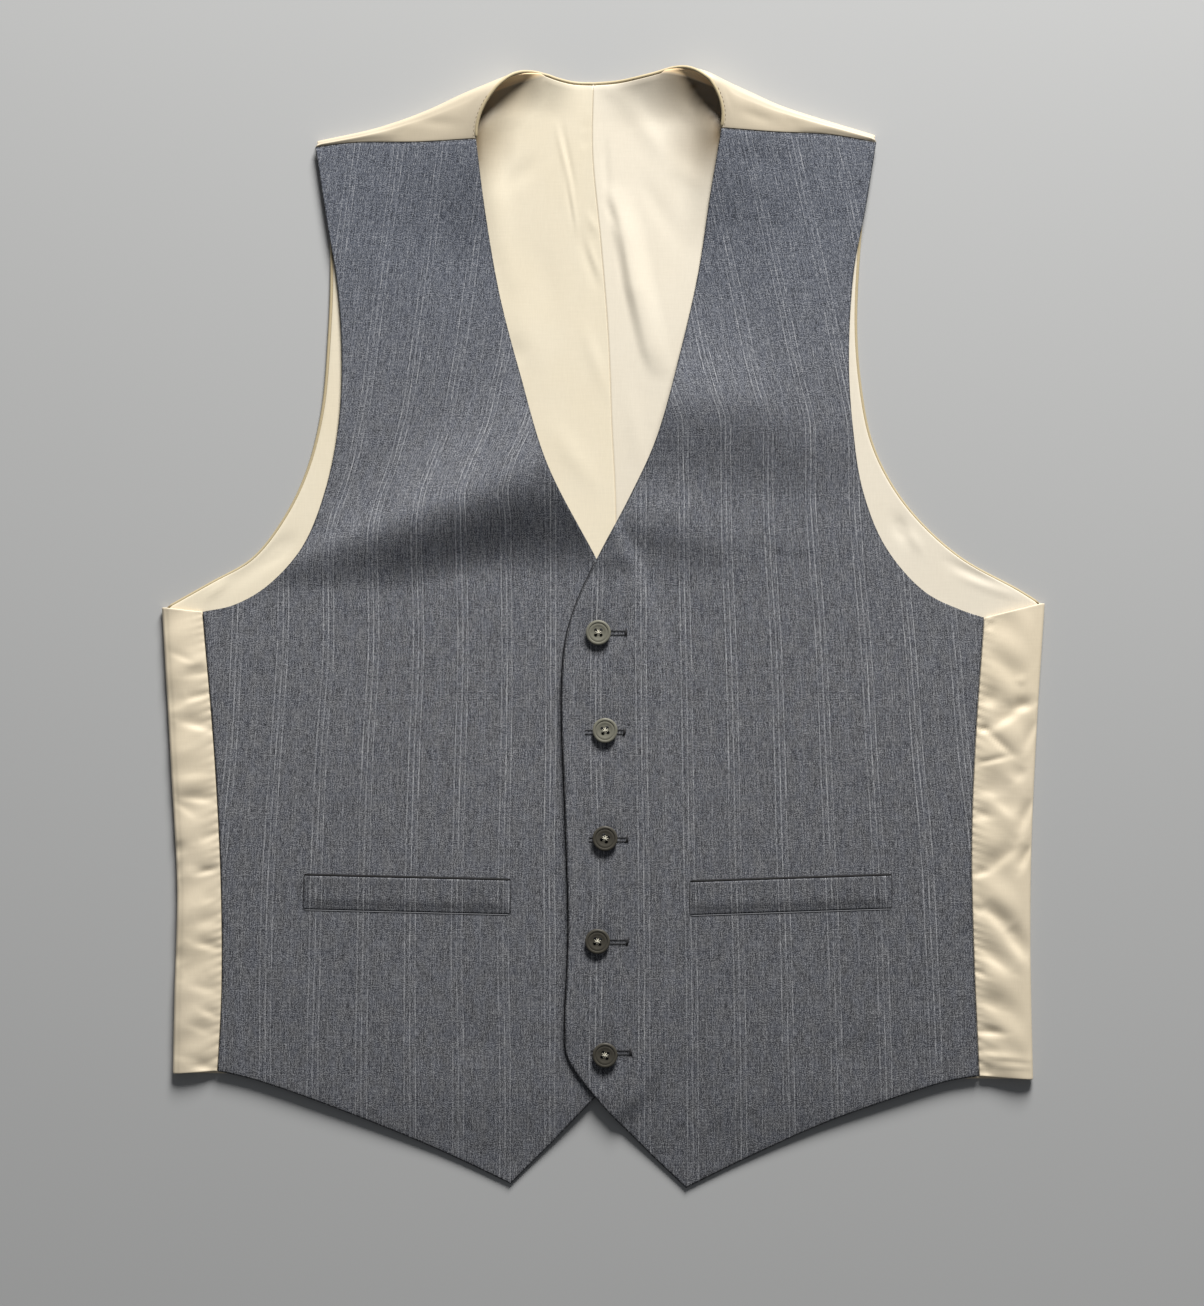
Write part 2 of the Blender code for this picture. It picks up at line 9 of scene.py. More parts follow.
import bmesh
import bpy
import numpy as np
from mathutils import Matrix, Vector


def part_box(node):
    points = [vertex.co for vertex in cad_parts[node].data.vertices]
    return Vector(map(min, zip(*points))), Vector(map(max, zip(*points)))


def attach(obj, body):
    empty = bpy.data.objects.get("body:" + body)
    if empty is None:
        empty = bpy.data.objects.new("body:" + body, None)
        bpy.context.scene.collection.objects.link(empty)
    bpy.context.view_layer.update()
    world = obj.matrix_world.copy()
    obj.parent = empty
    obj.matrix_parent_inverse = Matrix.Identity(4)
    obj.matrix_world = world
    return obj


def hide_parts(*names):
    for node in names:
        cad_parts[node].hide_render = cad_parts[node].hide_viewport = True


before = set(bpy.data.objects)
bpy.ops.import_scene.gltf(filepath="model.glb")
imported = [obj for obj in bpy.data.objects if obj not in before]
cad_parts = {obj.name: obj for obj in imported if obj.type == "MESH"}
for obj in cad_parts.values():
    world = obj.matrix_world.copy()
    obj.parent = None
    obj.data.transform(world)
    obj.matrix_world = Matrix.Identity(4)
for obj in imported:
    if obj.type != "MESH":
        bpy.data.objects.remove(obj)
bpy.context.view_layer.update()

# ---------------------------------------------------------------------------------------------------------
# The back: two panels of cream satin, seamed down the centre. Each lies on the ground, folds forward at the
# side to meet the front at the side seam, and rolls over at the shoulder to meet it at the shoulder seam.
# The strips that come forward are a little puckered where they are stitched down.

MM = 0.001
SIDES = {"right": -1, "left": 1}

BACK_WALL = 1.0
GAP = 0.3
LINING_FLOOR = 1.3
FRONT_FLOOR = 2.6
FRONT_WALL = 2.0
SEAM_RISE = FRONT_FLOOR + (FRONT_WALL + BACK_WALL) / 2
SIDE_FOLD_RADIUS = 2.6
SIDE_STRIP_CROWN = 1.2
SHOULDER_STRIP_CROWN = 0.5
SHOULDER_STRIP_FALL = 0.07
NECK_BOW = 3.5
NECK_SKEW = {"right": (14.5, -4.5), "left": (14.5, -3.0)}
NECK_FLATTENING = 0.25

# Distance from the shoulder tip along the seam, and how far the shoulder stands up there.
SHOULDER_LIFT = np.array([(0.0, 0.0), (45.0, 2.0), (97.0, 7.0)])
SHOULDER_FALL = 75.0

CENTRE_SEAM = [
    (0, -269.5), (2, -100), (7.5, 61), (5, 123.5), (3, 174.5), (-1.5, 231), (-6.5, 285), (-6, 326.5),
]

# Seams that the back shares with the fronts: columns x and y.
SHOULDER_SEAM = {
    "right": [(-172.5, 287.5), (-150, 290), (-110, 290), (-76, 291.5)],
    "left": [(163.5, 290.5), (133.5, 295), (103, 296), (70.5, 298)],
}
SIDE_SEAM = {
    "right": [(-240, 9.5), (-233, -73.5), (-229, -150), (-228.5, -217), (-231, -265.5)],
    "left": [(228, 6), (222.5, -73.5), (220.5, -133.5), (222, -200), (225, -268.5)],
}

# The folded back's own edges: columns x and y.
BACK_ARMHOLE = {
    "right": [
        (-170.5, 287.5), (-164.5, 250), (-163.5, 215), (-165, 174.5), (-169, 130),
        (-178, 94), (-192, 65), (-211, 41), (-236, 26.5), (-262, 12.5),
    ],
    "left": [
        (162, 291.5), (157, 258), (154, 228), (152, 180.5), (154.5, 145.5),
        (161, 112), (173, 86), (190, 63.5), (215.5, 41), (249, 22.5), (262, 15),
    ],
}
SIDE_FOLD = {
    "right": [(-264.5, 12), (-259, -85.5), (-255.5, -157.5), (-257, -217.5), (-258, -267)],
    "left": [(264.5, 14.5), (260, -55.5), (256.5, -133.5), (256, -193.5), (257.5, -270.5)],
}
SHOULDER_FOLD = {
    "right": [(-51, 332), (-67.5, 326), (-84, 319.5), (-106, 309.5), (-135, 299.5), (-171.5, 291.5)],
    "left": [(50, 335), (58, 333.2), (66, 330), (87, 321), (106.5, 312.5), (163, 295)],
}
NECK_EDGE = {
    "right": [(-6, 326.5), (-18.5, 327), (-28, 329)],
    "left": [(-6, 326.5), (10, 327.5), (27.5, 331)],
}

# Creases of the side strips. Columns: x and y of one end, x and y of the other, width and height. Each trough
# falls softly from above, for STRIP_UPPER times its width, and comes up shortly below.
STRIP_UPPER = 2.3
STRIP_DEPTH = {"right": 0.85, "left": 1.2}
STRIP_CREASES = {
    "right": [
        (-259, -15, -244, -21, 1.3, -0.55), (-249, -22.5, -236, -20, 1.6, 0.6),
        (-252, -29, -235, -26.5, 1.8, -0.8), (-239, -9, -234, -8, 1.6, -0.5),
        (-260, -48, -249, -43.5, 2.6, -0.8), (-251, -43.5, -235, -39.5, 1.6, -1.25),
        (-253, -56, -234, -60.5, 2.2, -1.35), (-256, -72, -240, -66, 3, -0.4),
        (-255, -88, -233, -85.5, 3, -0.9), (-254, -101, -232, -103.5, 2, -1.2),
        (-257, -103, -243, -113, 2.2, -0.8), (-242, -128, -230, -123, 2, -0.9),
        (-252, -141, -238, -142.5, 4, -1), (-244, -147.5, -230, -144.5, 1.3, -1.3),
        (-257, -128, -254, -137, 2.6, -1.1), (-257, -140, -254.5, -150, 2.6, -0.9),
        (-241, -164, -231, -160, 2, -0.6), (-244, -178, -230, -174, 2.4, -0.8),
        (-245, -188, -230, -192, 2, -1.3), (-257.5, -192, -253, -202, 3, -1),
        (-240, -207.5, -236.5, -207, 0.8, -0.3), (-240, -210, -236.5, -209.5, 0.8, -0.3),
        (-248, -213, -231, -217.5, 2.8, -1), (-241, -228, -231, -233, 1.8, -1),
        (-250, -236, -234, -243, 2.2, -0.6), (-246, -262, -233, -264, 1.8, -1.2),
        (-258, -256, -240, -259, 1.6, -0.35),
    ],
    "left": [
        (229.5, 2.5, 233, -1, 1.4, -0.6), (232, -14, 252, -32, 5, -0.7),
        (247, -30, 252, -34, 1.6, 0.5), (256.5, -46, 245, -48.5, 2.4, -1.6),
        (249, -49, 232, -60, 2.6, -1.5), (226, -42, 236, -45, 2.8, -0.9),
        (225, -60.5, 231, -62, 1.4, -1), (229, -62, 245, -77, 1.3, -0.9),
        (223, -82, 244, -77, 1.1, -0.8), (259, -55, 252, -74, 1.8, -0.9),
        (252, -84, 246, -92, 3, -0.8), (223, -97, 236, -99, 3, -0.8),
        (256.5, -102, 249, -124, 2, -1.4), (235, -102, 246, -112, 2.6, -0.8),
        (222, -112, 232, -113.5, 2, -0.9), (255, -130, 250, -145, 1.6, -1.4),
        (246, -131, 230, -145.5, 3, -1.3), (231, -146, 221.5, -148, 1.6, -0.9),
        (227, -165, 242, -181, 3, -1.5), (241, -180, 254.5, -199, 3, -1.5),
        (221, -168, 228, -172, 1.8, -0.8), (225, -191, 244, -206, 3, -1.1),
        (222, -205, 229, -209, 1.6, -0.9), (224, -222, 238, -229, 2.6, -0.8),
        (224.5, -241.5, 240, -243.5, 1.5, -1.2), (224.5, -252.5, 238, -255.5, 1.6, -0.9),
        (225.5, -255, 257, -259.5, 1.2, 0.45), (236, -262.5, 257, -264, 1, 0.3),
        (226, -264, 233, -268, 1.4, -0.7),
    ],
}
# A strip's crown lies nearer to its fold than to its seam, by this power.
CROWN_LEAN = 0.6

# Small gathers where the side seam draws the strip in: their spacing, depth and reach from the seam.
GATHER_SPACING = {"right": 5.6, "left": 5.0}
GATHER_DEPTH = {"right": 0.8, "left": 0.85}
GATHER_REACH = {"right": 4.2, "left": 5.0}
# How they lean, wander along the seam (length and amount), how sharp they are, and how their depth changes.
GATHER_LEAN = 0.35
GATHER_WANDER = [(17.0, 1.3), (7.3, 0.8)]
GATHER_SHARPNESS = 1.6
GATHER_CHANGE = 0.3
GATHER_CHANGE_LENGTH = 11.0
# Broad slack waves across the strip: length, lean, height and start. They wander too, and rise and fall
# within this reach of the seam.
SLACK_WAVES = {
    "right": [(23.0, 0.5, 0.28, 0.4), (52.0, 0.2, 0.4, 4.1)],
    "left": [(25.0, 0.8, 0.3, 1.1), (47.0, -0.3, 0.45, 5.2)],
}
SLACK_WANDER = 0.8
SLACK_WANDER_LENGTH = 37.0
SLACK_REACH = 30.0

# Creases of the shoulder strips, in the same columns.
SHOULDER_CREASES = {
    "right": [(-86, 300, -112, 303, 3, -0.4), (-120, 294, -150, 295, 2.6, 0.3)],
    "left": [(80, 309, 102, 302, 3, -0.4), (112, 299, 140, 298, 2.6, 0.3)],
}

# Creases on the underside, where the cloth lifts a little from the ground, in the same columns.
UNDERSIDE_CREASES = {
    "right": [
        (-30, 300, -62, 210, 6, 0.5), (-20, 150, -90, 60, 7, 0.5),
        (-60, 20, -200, 0, 6, 0.5), (-80, -70, -170, -100, 7, 0.4),
        (-40, -120, -60, -230, 6, 0.4), (-150, -170, -240, -190, 5, 0.5),
        (-110, 250, -140, 150, 7, 0.4),
    ],
    "left": [
        (24, 290, 50, 180, 6, 0.5), (30, 120, 110, 50, 7, 0.5),
        (70, 10, 190, -15, 6, 0.5), (60, -90, 160, -75, 7, 0.4),
        (50, -140, 80, -240, 6, 0.4), (140, -190, 236, -170, 5, 0.5),
        (100, 240, 130, 160, 7, 0.4),
    ],
}
UNDERSIDE_LIFT = 0.5

# A crease's share of its full height at its two ends.
CREASE_ENDS = 0.25

# How finely the cloth is divided: steps between a line's points, rows up the side fold and the armhole,
# columns along the neck and the shoulder, and steps round a fold, over a strip and round an edge.
SPLINE_STEPS = 14
BACK_SIDE_ROWS = 210
BACK_ARMHOLE_ROWS = 100
NECK_COLUMNS = 16
SHOULDER_COLUMNS = 42
FOLD_STEPS = 12
SIDE_STRIP_STEPS = 20
SHOULDER_STRIP_STEPS = 14
EDGE_STEPS = 6

# A rolled edge takes at most this share of the room beside it, and that room is counted within these limits.
EDGE_SHARE = 0.6
EDGE_ROOM = (0.1, 10.0)


def ease(value):
    """A soft step from 0 to 1."""
    value = np.clip(value, 0.0, 1.0)
    return value * value * (3.0 - 2.0 * value)


def smooth_line(table):
    """A dense line through the table's points, a cubic from each point to the next."""
    points = np.array(table, float)
    ends = np.vstack([2 * points[0] - points[1], points, 2 * points[-1] - points[-2]])
    steps = np.sqrt(np.linalg.norm(np.diff(ends, axis=0), axis=1))
    times = np.concatenate([[0.0], np.cumsum(steps)])
    line = []
    for start in range(1, len(ends) - 2):
        a, b, c, d = ends[start - 1 : start + 3]
        ta, tb, tc, td = times[start - 1 : start + 3]
        for t in np.linspace(tb, tc, SPLINE_STEPS, endpoint=False):
            ab = ((tb - t) * a + (t - ta) * b) / (tb - ta)
            bc = ((tc - t) * b + (t - tb) * c) / (tc - tb)
            cd = ((td - t) * c + (t - tc) * d) / (td - tc)
            abc = ((tc - t) * ab + (t - ta) * bc) / (tc - ta)
            bcd = ((td - t) * bc + (t - tb) * cd) / (td - tb)
            line.append(((tc - t) * abc + (t - tb) * bcd) / (tc - tb))
    line.append(points[-1])
    return np.array(line)


def lengths(line):
    """How far along the line each of its points is."""
    return np.concatenate([[0.0], np.cumsum(np.linalg.norm(np.diff(line, axis=0), axis=1))])


def along(line, fractions):
    """The points at these fractions of the line's length."""
    measured = lengths(line)
    places = np.asarray(fractions) * measured[-1]
    return np.stack([np.interp(places, measured, column) for column in line.T], axis=-1)


def stops(first, second, corner):
    """Fractions with the given numbers of steps before and after a corner."""
    return np.concatenate([np.linspace(0.0, corner, first + 1), np.linspace(corner, 1.0, second + 1)[1:]])


def fill(outer, inner, first, last):
    """A grid between four edges: outer and inner join the rows' ends, and first and last are the end rows."""
    rows, columns = len(outer), len(first)
    across = np.linspace(0.0, 1.0, columns)[None, :, None]
    down = np.linspace(0.0, 1.0, rows)[:, None, None]
    ruled = (1 - across) * outer[:, None] + across * inner[:, None]
    first_bend = first[None] - ruled[:1]
    last_bend = last[None] - ruled[-1:]
    return ruled + (1 - down) ** 2 * first_bend + down**2 * last_bend


def raised(plan, heights):
    """Plan points with their heights."""
    return np.concatenate([plan, np.asarray(heights)[..., None]], axis=-1)


def creases(table, x, y, upper=1.0):
    """Troughs and ridges of a table, deepest at the middle of their length and soft at both sides.

    On the side towards the neck they are upper times as wide.
    """
    total = np.zeros_like(x)
    for start_x, start_y, end_x, end_y, width, height in table:
        run = np.array([end_x - start_x, end_y - start_y])
        part = ((x - start_x) * run[0] + (y - start_y) * run[1]) / (run @ run)
        part = np.clip(part, 0.0, 1.0)
        away_x, away_y = x - start_x - part * run[0], y - start_y - part * run[1]
        above = (away_y * run[0] - away_x * run[1]) * np.sign(run[0] + 1e-9) > 0
        distance = np.hypot(away_x, away_y) / np.where(above, width * upper, width)
        total += height * np.exp(-(distance**2)) * (CREASE_ENDS + (1 - CREASE_ENDS) * np.sin(math.pi * part))
    return total


class Shell:
    """Cloth as a closed shell: matching outer and inner points, and a rolled edge all round."""

    def __init__(self):
        self.outer = np.empty((0, 3))
        self.inner = np.empty((0, 3))
        self.quads = np.empty((0, 4), int)

    def add_points(self, outer, inner):
        """Adds a grid of points, and gives back their numbers."""
        start = len(self.outer)
        self.outer = np.vstack([self.outer, outer.reshape(-1, 3)])
        self.inner = np.vstack([self.inner, inner.reshape(-1, 3)])
        return start + np.arange(outer.shape[0] * outer.shape[1]).reshape(outer.shape[:2])

    def add_quads(self, index):
        quads = np.stack([index[:-1, :-1], index[:-1, 1:], index[1:, 1:], index[1:, :-1]], axis=-1)
        self.quads = np.vstack([self.quads, quads.reshape(-1, 4)])

    def face_outwards(self):
        a, b, c = (self.outer[self.quads[:, corner]] for corner in (0, 1, 3))
        thickness = (self.outer - self.inner)[self.quads[:, 0]]
        if np.sum(np.cross(b - a, c - a) * thickness) < 0:
            self.quads = self.quads[:, ::-1]

    def edge(self):
        """The free edge as pairs of points, each with the next one round."""
        sides = np.vstack([self.quads[:, [corner, (corner + 1) % 4]] for corner in range(4)])
        count = len(self.outer)
        forward = sides[:, 0] * count + sides[:, 1]
        backward = sides[:, 1] * count + sides[:, 0]
        return sides[~np.isin(forward, backward)]

    def room(self, middle, here, away):
        """How far inwards from each edge point its nearest inner neighbour lies."""
        on_edge = np.zeros(len(middle), bool)
        on_edge[here] = True
        outward = np.zeros_like(middle)
        outward[here] = away
        room = np.full(len(middle), EDGE_ROOM[1])
        for first in range(4):
            for second in range(4):
                start, end = self.quads[:, first], self.quads[:, second]
                inside = on_edge[start] & ~on_edge[end]
                start, end = start[inside], end[inside]
                depth = np.sum((middle[start] - middle[end]) * outward[start], axis=1)
                np.minimum.at(room, start, np.maximum(depth, EDGE_ROOM[0]))
        return room[here]

    def make(self, name, material, cloth_map=None, edge_material=None, masks=None):
        """The cloth as an object. masks gives values at the shell's points, for the material to read."""
        self.face_outwards()
        edge = self.edge()
        here, after = edge[:, 0], edge[:, 1]
        before = np.empty(len(self.outer), int)
        before[after] = here
        following = np.empty(len(self.outer), int)
        following[here] = after
        middle = (self.outer + self.inner) / 2
        half_wall = (self.outer - self.inner)[here] / 2
        run = middle[following[here]] - middle[before[here]]
        away = np.cross(run, half_wall)
        away /= np.linalg.norm(away, axis=1, keepdims=True)
        radius = np.linalg.norm(half_wall, axis=1, keepdims=True)
        radius = np.minimum(radius, EDGE_SHARE * self.room(middle, here, away)[:, None])
        centre = middle[here] - away * radius
        outer, inner = self.outer.copy(), self.inner.copy()
        outer[here] -= away * radius
        inner[here] -= away * radius
        rings = [
            centre + away * radius * math.sin(angle) + half_wall * math.cos(angle)
            for angle in np.linspace(0, math.pi, EDGE_STEPS + 1)[1:-1]
        ]
        count = len(outer)
        place = np.empty(count, int)
        place[here] = np.arange(len(here))
        in_rings = 2 * count + np.arange(len(rings) * len(here)).reshape(len(rings), len(here))
        ladder = [here, *in_rings, here + count]
        next_along = place[after]
        rim = [
            np.stack([lower, upper, upper[next_along], lower[next_along]], axis=-1)
            for lower, upper in zip(ladder[:-1], ladder[1:])
        ]
        faces = np.vstack([self.quads, self.quads[:, ::-1] + count, *rim])
        points = np.vstack([outer, inner, *rings])
        made = place_mesh(name, points, faces.tolist(), material, cloth_map)
        if edge_material is not None:
            made.data.materials.append(edge_material)
            finishes = np.repeat([0, 1], [2 * len(self.quads), len(rim) * len(here)]).astype(np.int32)
            made.data.polygons.foreach_set("material_index", finishes)
        for label, values in (masks or {}).items():
            everywhere = np.concatenate([values, values, *[values[here]] * len(rings)])
            layer = made.data.attributes.new(label, "FLOAT", "POINT")
            layer.data.foreach_set("value", everywhere.astype(np.float32))
        return made


def place_object(name, data):
    """An object with this mesh, light or camera, placed in the scene."""
    made = bpy.data.objects.new(name, data)
    bpy.context.scene.collection.objects.link(made)
    return made


def place_mesh(name, points, faces, material, cloth_map=None):
    """An object from points in millimetres. cloth_map gives each point's place on the cloth."""
    mesh = bpy.data.meshes.new(name)
    mesh.from_pydata((points * MM).tolist(), [], faces)
    if cloth_map is not None:
        flat = np.stack(cloth_map(points[:, 0], points[:, 1]), axis=-1) * MM
        corners = np.empty(len(mesh.loops), np.int32)
        mesh.loops.foreach_get("vertex_index", corners)
        mesh.uv_layers.new(name="cloth").uv.foreach_set("vector", flat[corners].astype(np.float32).ravel())
    mesh.shade_smooth()
    mesh.materials.append(material)
    return place_object(name, mesh)


def shoulder_lift(side, x, y):
    """How far the cloth stands up towards the shoulder seam."""
    tip = SHOULDER_SEAM[side][0]
    seam = smooth_line(SHOULDER_SEAM[side])
    order = np.argsort(seam[:, 0])
    seam_y = np.interp(x, seam[order, 0], seam[order, 1])
    lift = np.interp(np.abs(x - tip[0]), SHOULDER_LIFT[:, 0], SHOULDER_LIFT[:, 1])
    return lift * ease(1 - (seam_y - y) / SHOULDER_FALL)


SHOULDER_STOPS = np.linspace(0, 1, SHOULDER_COLUMNS + 1)
# The step, as a fraction of the fold, over which its direction is read.
DIRECTION_STEP = 0.02
# How soon the fold's neck end, and the bow of its strip's neck edge, give way to the plain fold.
NECK_END_RATE = 3
NECK_BOW_RATE = 8


def shoulder_levels(side, fractions):
    """The fold's radii at these fractions of its length, neck to tip, and the strip's level at the seam."""
    seam = along(smooth_line(SHOULDER_SEAM[side]), 1 - fractions)
    crest = along(smooth_line(SHOULDER_FOLD[side]), fractions)
    level = SEAM_RISE + shoulder_lift(side, seam[:, 0], seam[:, 1])
    return (level + SHOULDER_STRIP_FALL * np.linalg.norm(crest - seam, axis=1)) / 2, level


def shoulder_frame(side, fractions):
    """In plan: where the shoulder fold starts on the lying layer, its crest, and where it ends above."""
    fold = smooth_line(SHOULDER_FOLD[side])
    crest = along(fold, fractions)
    before, after = (np.clip(fractions + step, 0, 1) for step in (-DIRECTION_STEP, DIRECTION_STEP))
    ahead = along(fold, after) - along(fold, before)
    outward = np.stack([-ahead[:, 1], ahead[:, 0]], axis=-1) * SIDES[side]
    outward /= np.linalg.norm(outward, axis=1, keepdims=True)
    near_neck = ease(1 - NECK_END_RATE * fractions)
    radii, _ = shoulder_levels(side, fractions)
    depth = radii * (1 - NECK_FLATTENING * near_neck)
    middle = crest - outward * depth[:, None]
    skew = near_neck[:, None] * np.array(NECK_SKEW[side]) * (SIDES[side], 1)
    return middle - skew, crest, middle + skew


# How the neck's edge stands up towards each shoulder: its rise there, its reach along the edge and inwards.
NECK_STAND = {"right": 3.6, "left": 5.8}
NECK_STAND_ALONG = {"right": 21.0, "left": 36.0}
NECK_STAND_INWARD = {"right": 19.0, "left": 24.0}
# It keeps its height for a little way from the corner, in parts of the reach, and falls as a power inwards.
NECK_STAND_FULL = 1.15
NECK_STAND_POWER = 1.7
# The neck's edge goes on up this share of the shoulder fold: its steps, and how softly they are joined.
NECK_FOLD_SHARE = 0.4
NECK_FOLD_STEPS = 8
NECK_EDGE_STEPS = 120
NECK_BLEND = 3.0


def neck_stand(side, x, y):
    """How far the cloth stands up near the corner where the neck's edge turns into the shoulder fold."""
    start, _, _ = shoulder_frame(side, np.linspace(0, NECK_FOLD_SHARE, NECK_FOLD_STEPS + 1))
    neck = smooth_line([*NECK_EDGE[side], start[0]])
    edge = along(np.vstack([neck, start[1:]]), np.linspace(0, 1, NECK_EDGE_STEPS + 1))
    measured = lengths(edge)
    closeness, place = np.zeros(np.shape(x)), np.zeros(np.shape(x))
    for (edge_x, edge_y), position in zip(edge, measured):
        weight = np.exp(-np.hypot(x - edge_x, y - edge_y) / NECK_BLEND)
        closeness += weight
        place += weight * position
    nearest = np.maximum(-NECK_BLEND * np.log(closeness * measured[1] / (2 * NECK_BLEND)), 0.0)
    from_corner = np.abs(place / closeness - lengths(neck)[-1])
    along_edge = ease(NECK_STAND_FULL - from_corner / NECK_STAND_ALONG[side])
    inwards = np.clip(1 - nearest / NECK_STAND_INWARD[side], 0, 1) ** NECK_STAND_POWER
    return NECK_STAND[side] * along_edge * inwards


def back_plan(side):
    """The lying layer's rows run from the centre seam to the side fold and armhole, hem to shoulder."""
    sign = SIDES[side]
    centre = smooth_line(CENTRE_SEAM) + np.array([sign * GAP / 2, 0.0])
    fold_start, _, _ = shoulder_frame(side, SHOULDER_STOPS)
    fold = smooth_line(SIDE_FOLD[side]) - np.array([sign * SIDE_FOLD_RADIUS, 0.0])
    armhole = smooth_line([fold[0], *BACK_ARMHOLE[side][-2:0:-1], fold_start[-1]])
    outer = np.vstack([
        along(fold, np.linspace(1, 0, BACK_SIDE_ROWS + 1)),
        along(armhole, np.linspace(0, 1, BACK_ARMHOLE_ROWS + 1))[1:],
    ])
    underarm = (fold[0, 1] - centre[0, 1]) / (centre[-1, 1] - centre[0, 1])
    inner = along(centre, stops(BACK_SIDE_ROWS, BACK_ARMHOLE_ROWS, underarm))
    neck_line = smooth_line([inner[-1], *NECK_EDGE[side][1:], fold_start[0]])
    neck = along(neck_line, np.linspace(0, 1, NECK_COLUMNS + 1))
    across = np.linspace(0, 1, NECK_COLUMNS + SHOULDER_COLUMNS + 1)[:, None]
    hem = (1 - across) * inner[0] + across * outer[0]
    return fill(inner, outer, hem, np.vstack([neck, fold_start[1:]]))


def half_turn(start, end, steps):
    """Steps of half a turn: how far it has come, the middle that it turns about, its cosine and its sine."""
    for angle in np.linspace(-math.pi / 2, math.pi / 2, steps + 1)[1:]:
        across = 0.5 + angle / math.pi
        yield (1 + math.sin(angle)) / 2, (1 - across) * start + across * end, math.cos(angle), math.sin(angle)


def wrap(start, crest, end, radii, seam, seam_rise, strip_steps, crown, relief, stand):
    """Sections through a fold: half a turn from start over crest to end, then a crowned strip to the seam."""
    reach = crest - (start + end) / 2
    inner_reach = reach * (1 - BACK_WALL / np.linalg.norm(reach, axis=1, keepdims=True))
    outer, inner = [], []
    for turned, middle, cosine, sine in half_turn(start, end, FOLD_STEPS):
        over = middle + reach * cosine
        lift = relief(over[:, 0], over[:, 1]) * turned + stand * (1 - turned)
        outer.append(raised(over, radii * (1 + sine) + lift))
        inner.append(raised(middle + inner_reach * cosine, radii + (radii - BACK_WALL) * sine + lift))
    for part in np.linspace(0, 1, strip_steps + 1)[1:]:
        plan = (1 - part) * end + part * seam
        top = (1 - part) * 2 * radii + part * seam_rise + crown * math.sin(math.pi * part**CROWN_LEAN)
        top = top + relief(plan[:, 0], plan[:, 1])
        outer.append(raised(plan, top))
        inner.append(raised(plan, top - BACK_WALL))
    return np.stack(outer, axis=1), np.stack(inner, axis=1)


def strip_relief(side):
    """Creases and gathers of a side strip."""
    seam = smooth_line(SIDE_SEAM[side])[::-1]

    def relief(x, y):
        from_seam = np.abs(x - np.interp(y, seam[:, 1], seam[:, 0]))
        phase = math.pi * (y + GATHER_LEAN * from_seam) / GATHER_SPACING[side]
        for length, amount in GATHER_WANDER:
            phase = phase + amount * np.sin(y / length)
        gathers = GATHER_DEPTH[side] * (1 - np.abs(np.sin(phase))) ** GATHER_SHARPNESS
        gathers = gathers * np.exp(-from_seam / GATHER_REACH[side])
        total = STRIP_DEPTH[side] * creases(STRIP_CREASES[side], x, y, STRIP_UPPER)
        total = total - gathers * (1 - GATHER_CHANGE + GATHER_CHANGE * np.sin(y / GATHER_CHANGE_LENGTH))
        middle = np.sin(math.pi * np.clip(from_seam / SLACK_REACH, 0, 1)) ** 0.5
        for length, lean, height, start in SLACK_WAVES[side]:
            wander = SLACK_WANDER * np.sin(y / SLACK_WANDER_LENGTH + start)
            wave = np.sin(2 * math.pi * (y + lean * from_seam) / length + start + wander)
            total = total + height * wave * middle
        return total

    return relief


def side_wrap(side):
    """The side fold and its strip, hem to underarm."""
    outwards = np.array([SIDES[side], 0.0])
    fractions = np.linspace(1, 0, BACK_SIDE_ROWS + 1)
    fold = along(smooth_line(SIDE_FOLD[side]), fractions)
    seam = along(smooth_line(SIDE_SEAM[side]), fractions) + outwards * GAP
    centre = fold - outwards * SIDE_FOLD_RADIUS
    radii, rise, stand = (np.full(len(fold), value) for value in (SIDE_FOLD_RADIUS, SEAM_RISE, 0.0))
    return wrap(
        centre, fold, centre, radii, seam, rise, SIDE_STRIP_STEPS, SIDE_STRIP_CROWN, strip_relief(side), stand
    )


def shoulder_wrap(side):
    """The shoulder fold and its strip, neck to tip. Beside the neck the strip's edge bows outwards."""
    start, crest, end = shoulder_frame(side, SHOULDER_STOPS)
    radii, seam_rise = shoulder_levels(side, SHOULDER_STOPS)
    seam = along(smooth_line(SHOULDER_SEAM[side]), 1 - SHOULDER_STOPS) + np.array([0.0, GAP])

    def relief(x, y):
        return creases(SHOULDER_CREASES[side], x, y)

    outer, inner = wrap(
        start, crest, end, radii, seam, seam_rise, SHOULDER_STRIP_STEPS, SHOULDER_STRIP_CROWN, relief,
        neck_stand(side, *start.T),
    )
    bow = np.linspace(0, 1, SHOULDER_STRIP_STEPS + 1)[1:]
    near_neck = ease(1 - NECK_BOW_RATE * SHOULDER_STOPS)
    for points in (outer, inner):
        points[:, FOLD_STEPS:, 0] += SIDES[side] * NECK_BOW * near_neck[:, None] * 4 * bow * (1 - bow)
    return outer, inner


def add_node(tree, kind, inputs=None, **settings):
    """A node with its settings; an input is given a value, or a socket to be linked to."""
    made = tree.nodes.new(kind)
    for name, value in settings.items():
        setattr(made, name, value)
    for name, value in (inputs or {}).items():
        if isinstance(value, bpy.types.NodeSocket):
            tree.links.new(value, made.inputs[name])
        else:
            made.inputs[name].default_value = value
    return made


def maths(tree, operation, *values):
    return add_node(tree, "ShaderNodeMath", dict(enumerate(values)), operation=operation).outputs[0]


def rgb(colour):
    """A colour given as 0 to 255 on screen, as the shader's own linear light."""
    parts = np.array(colour) / 255
    return (*np.where(parts <= 0.04045, parts / 12.92, ((parts + 0.055) / 1.055) ** 2.4), 1.0)


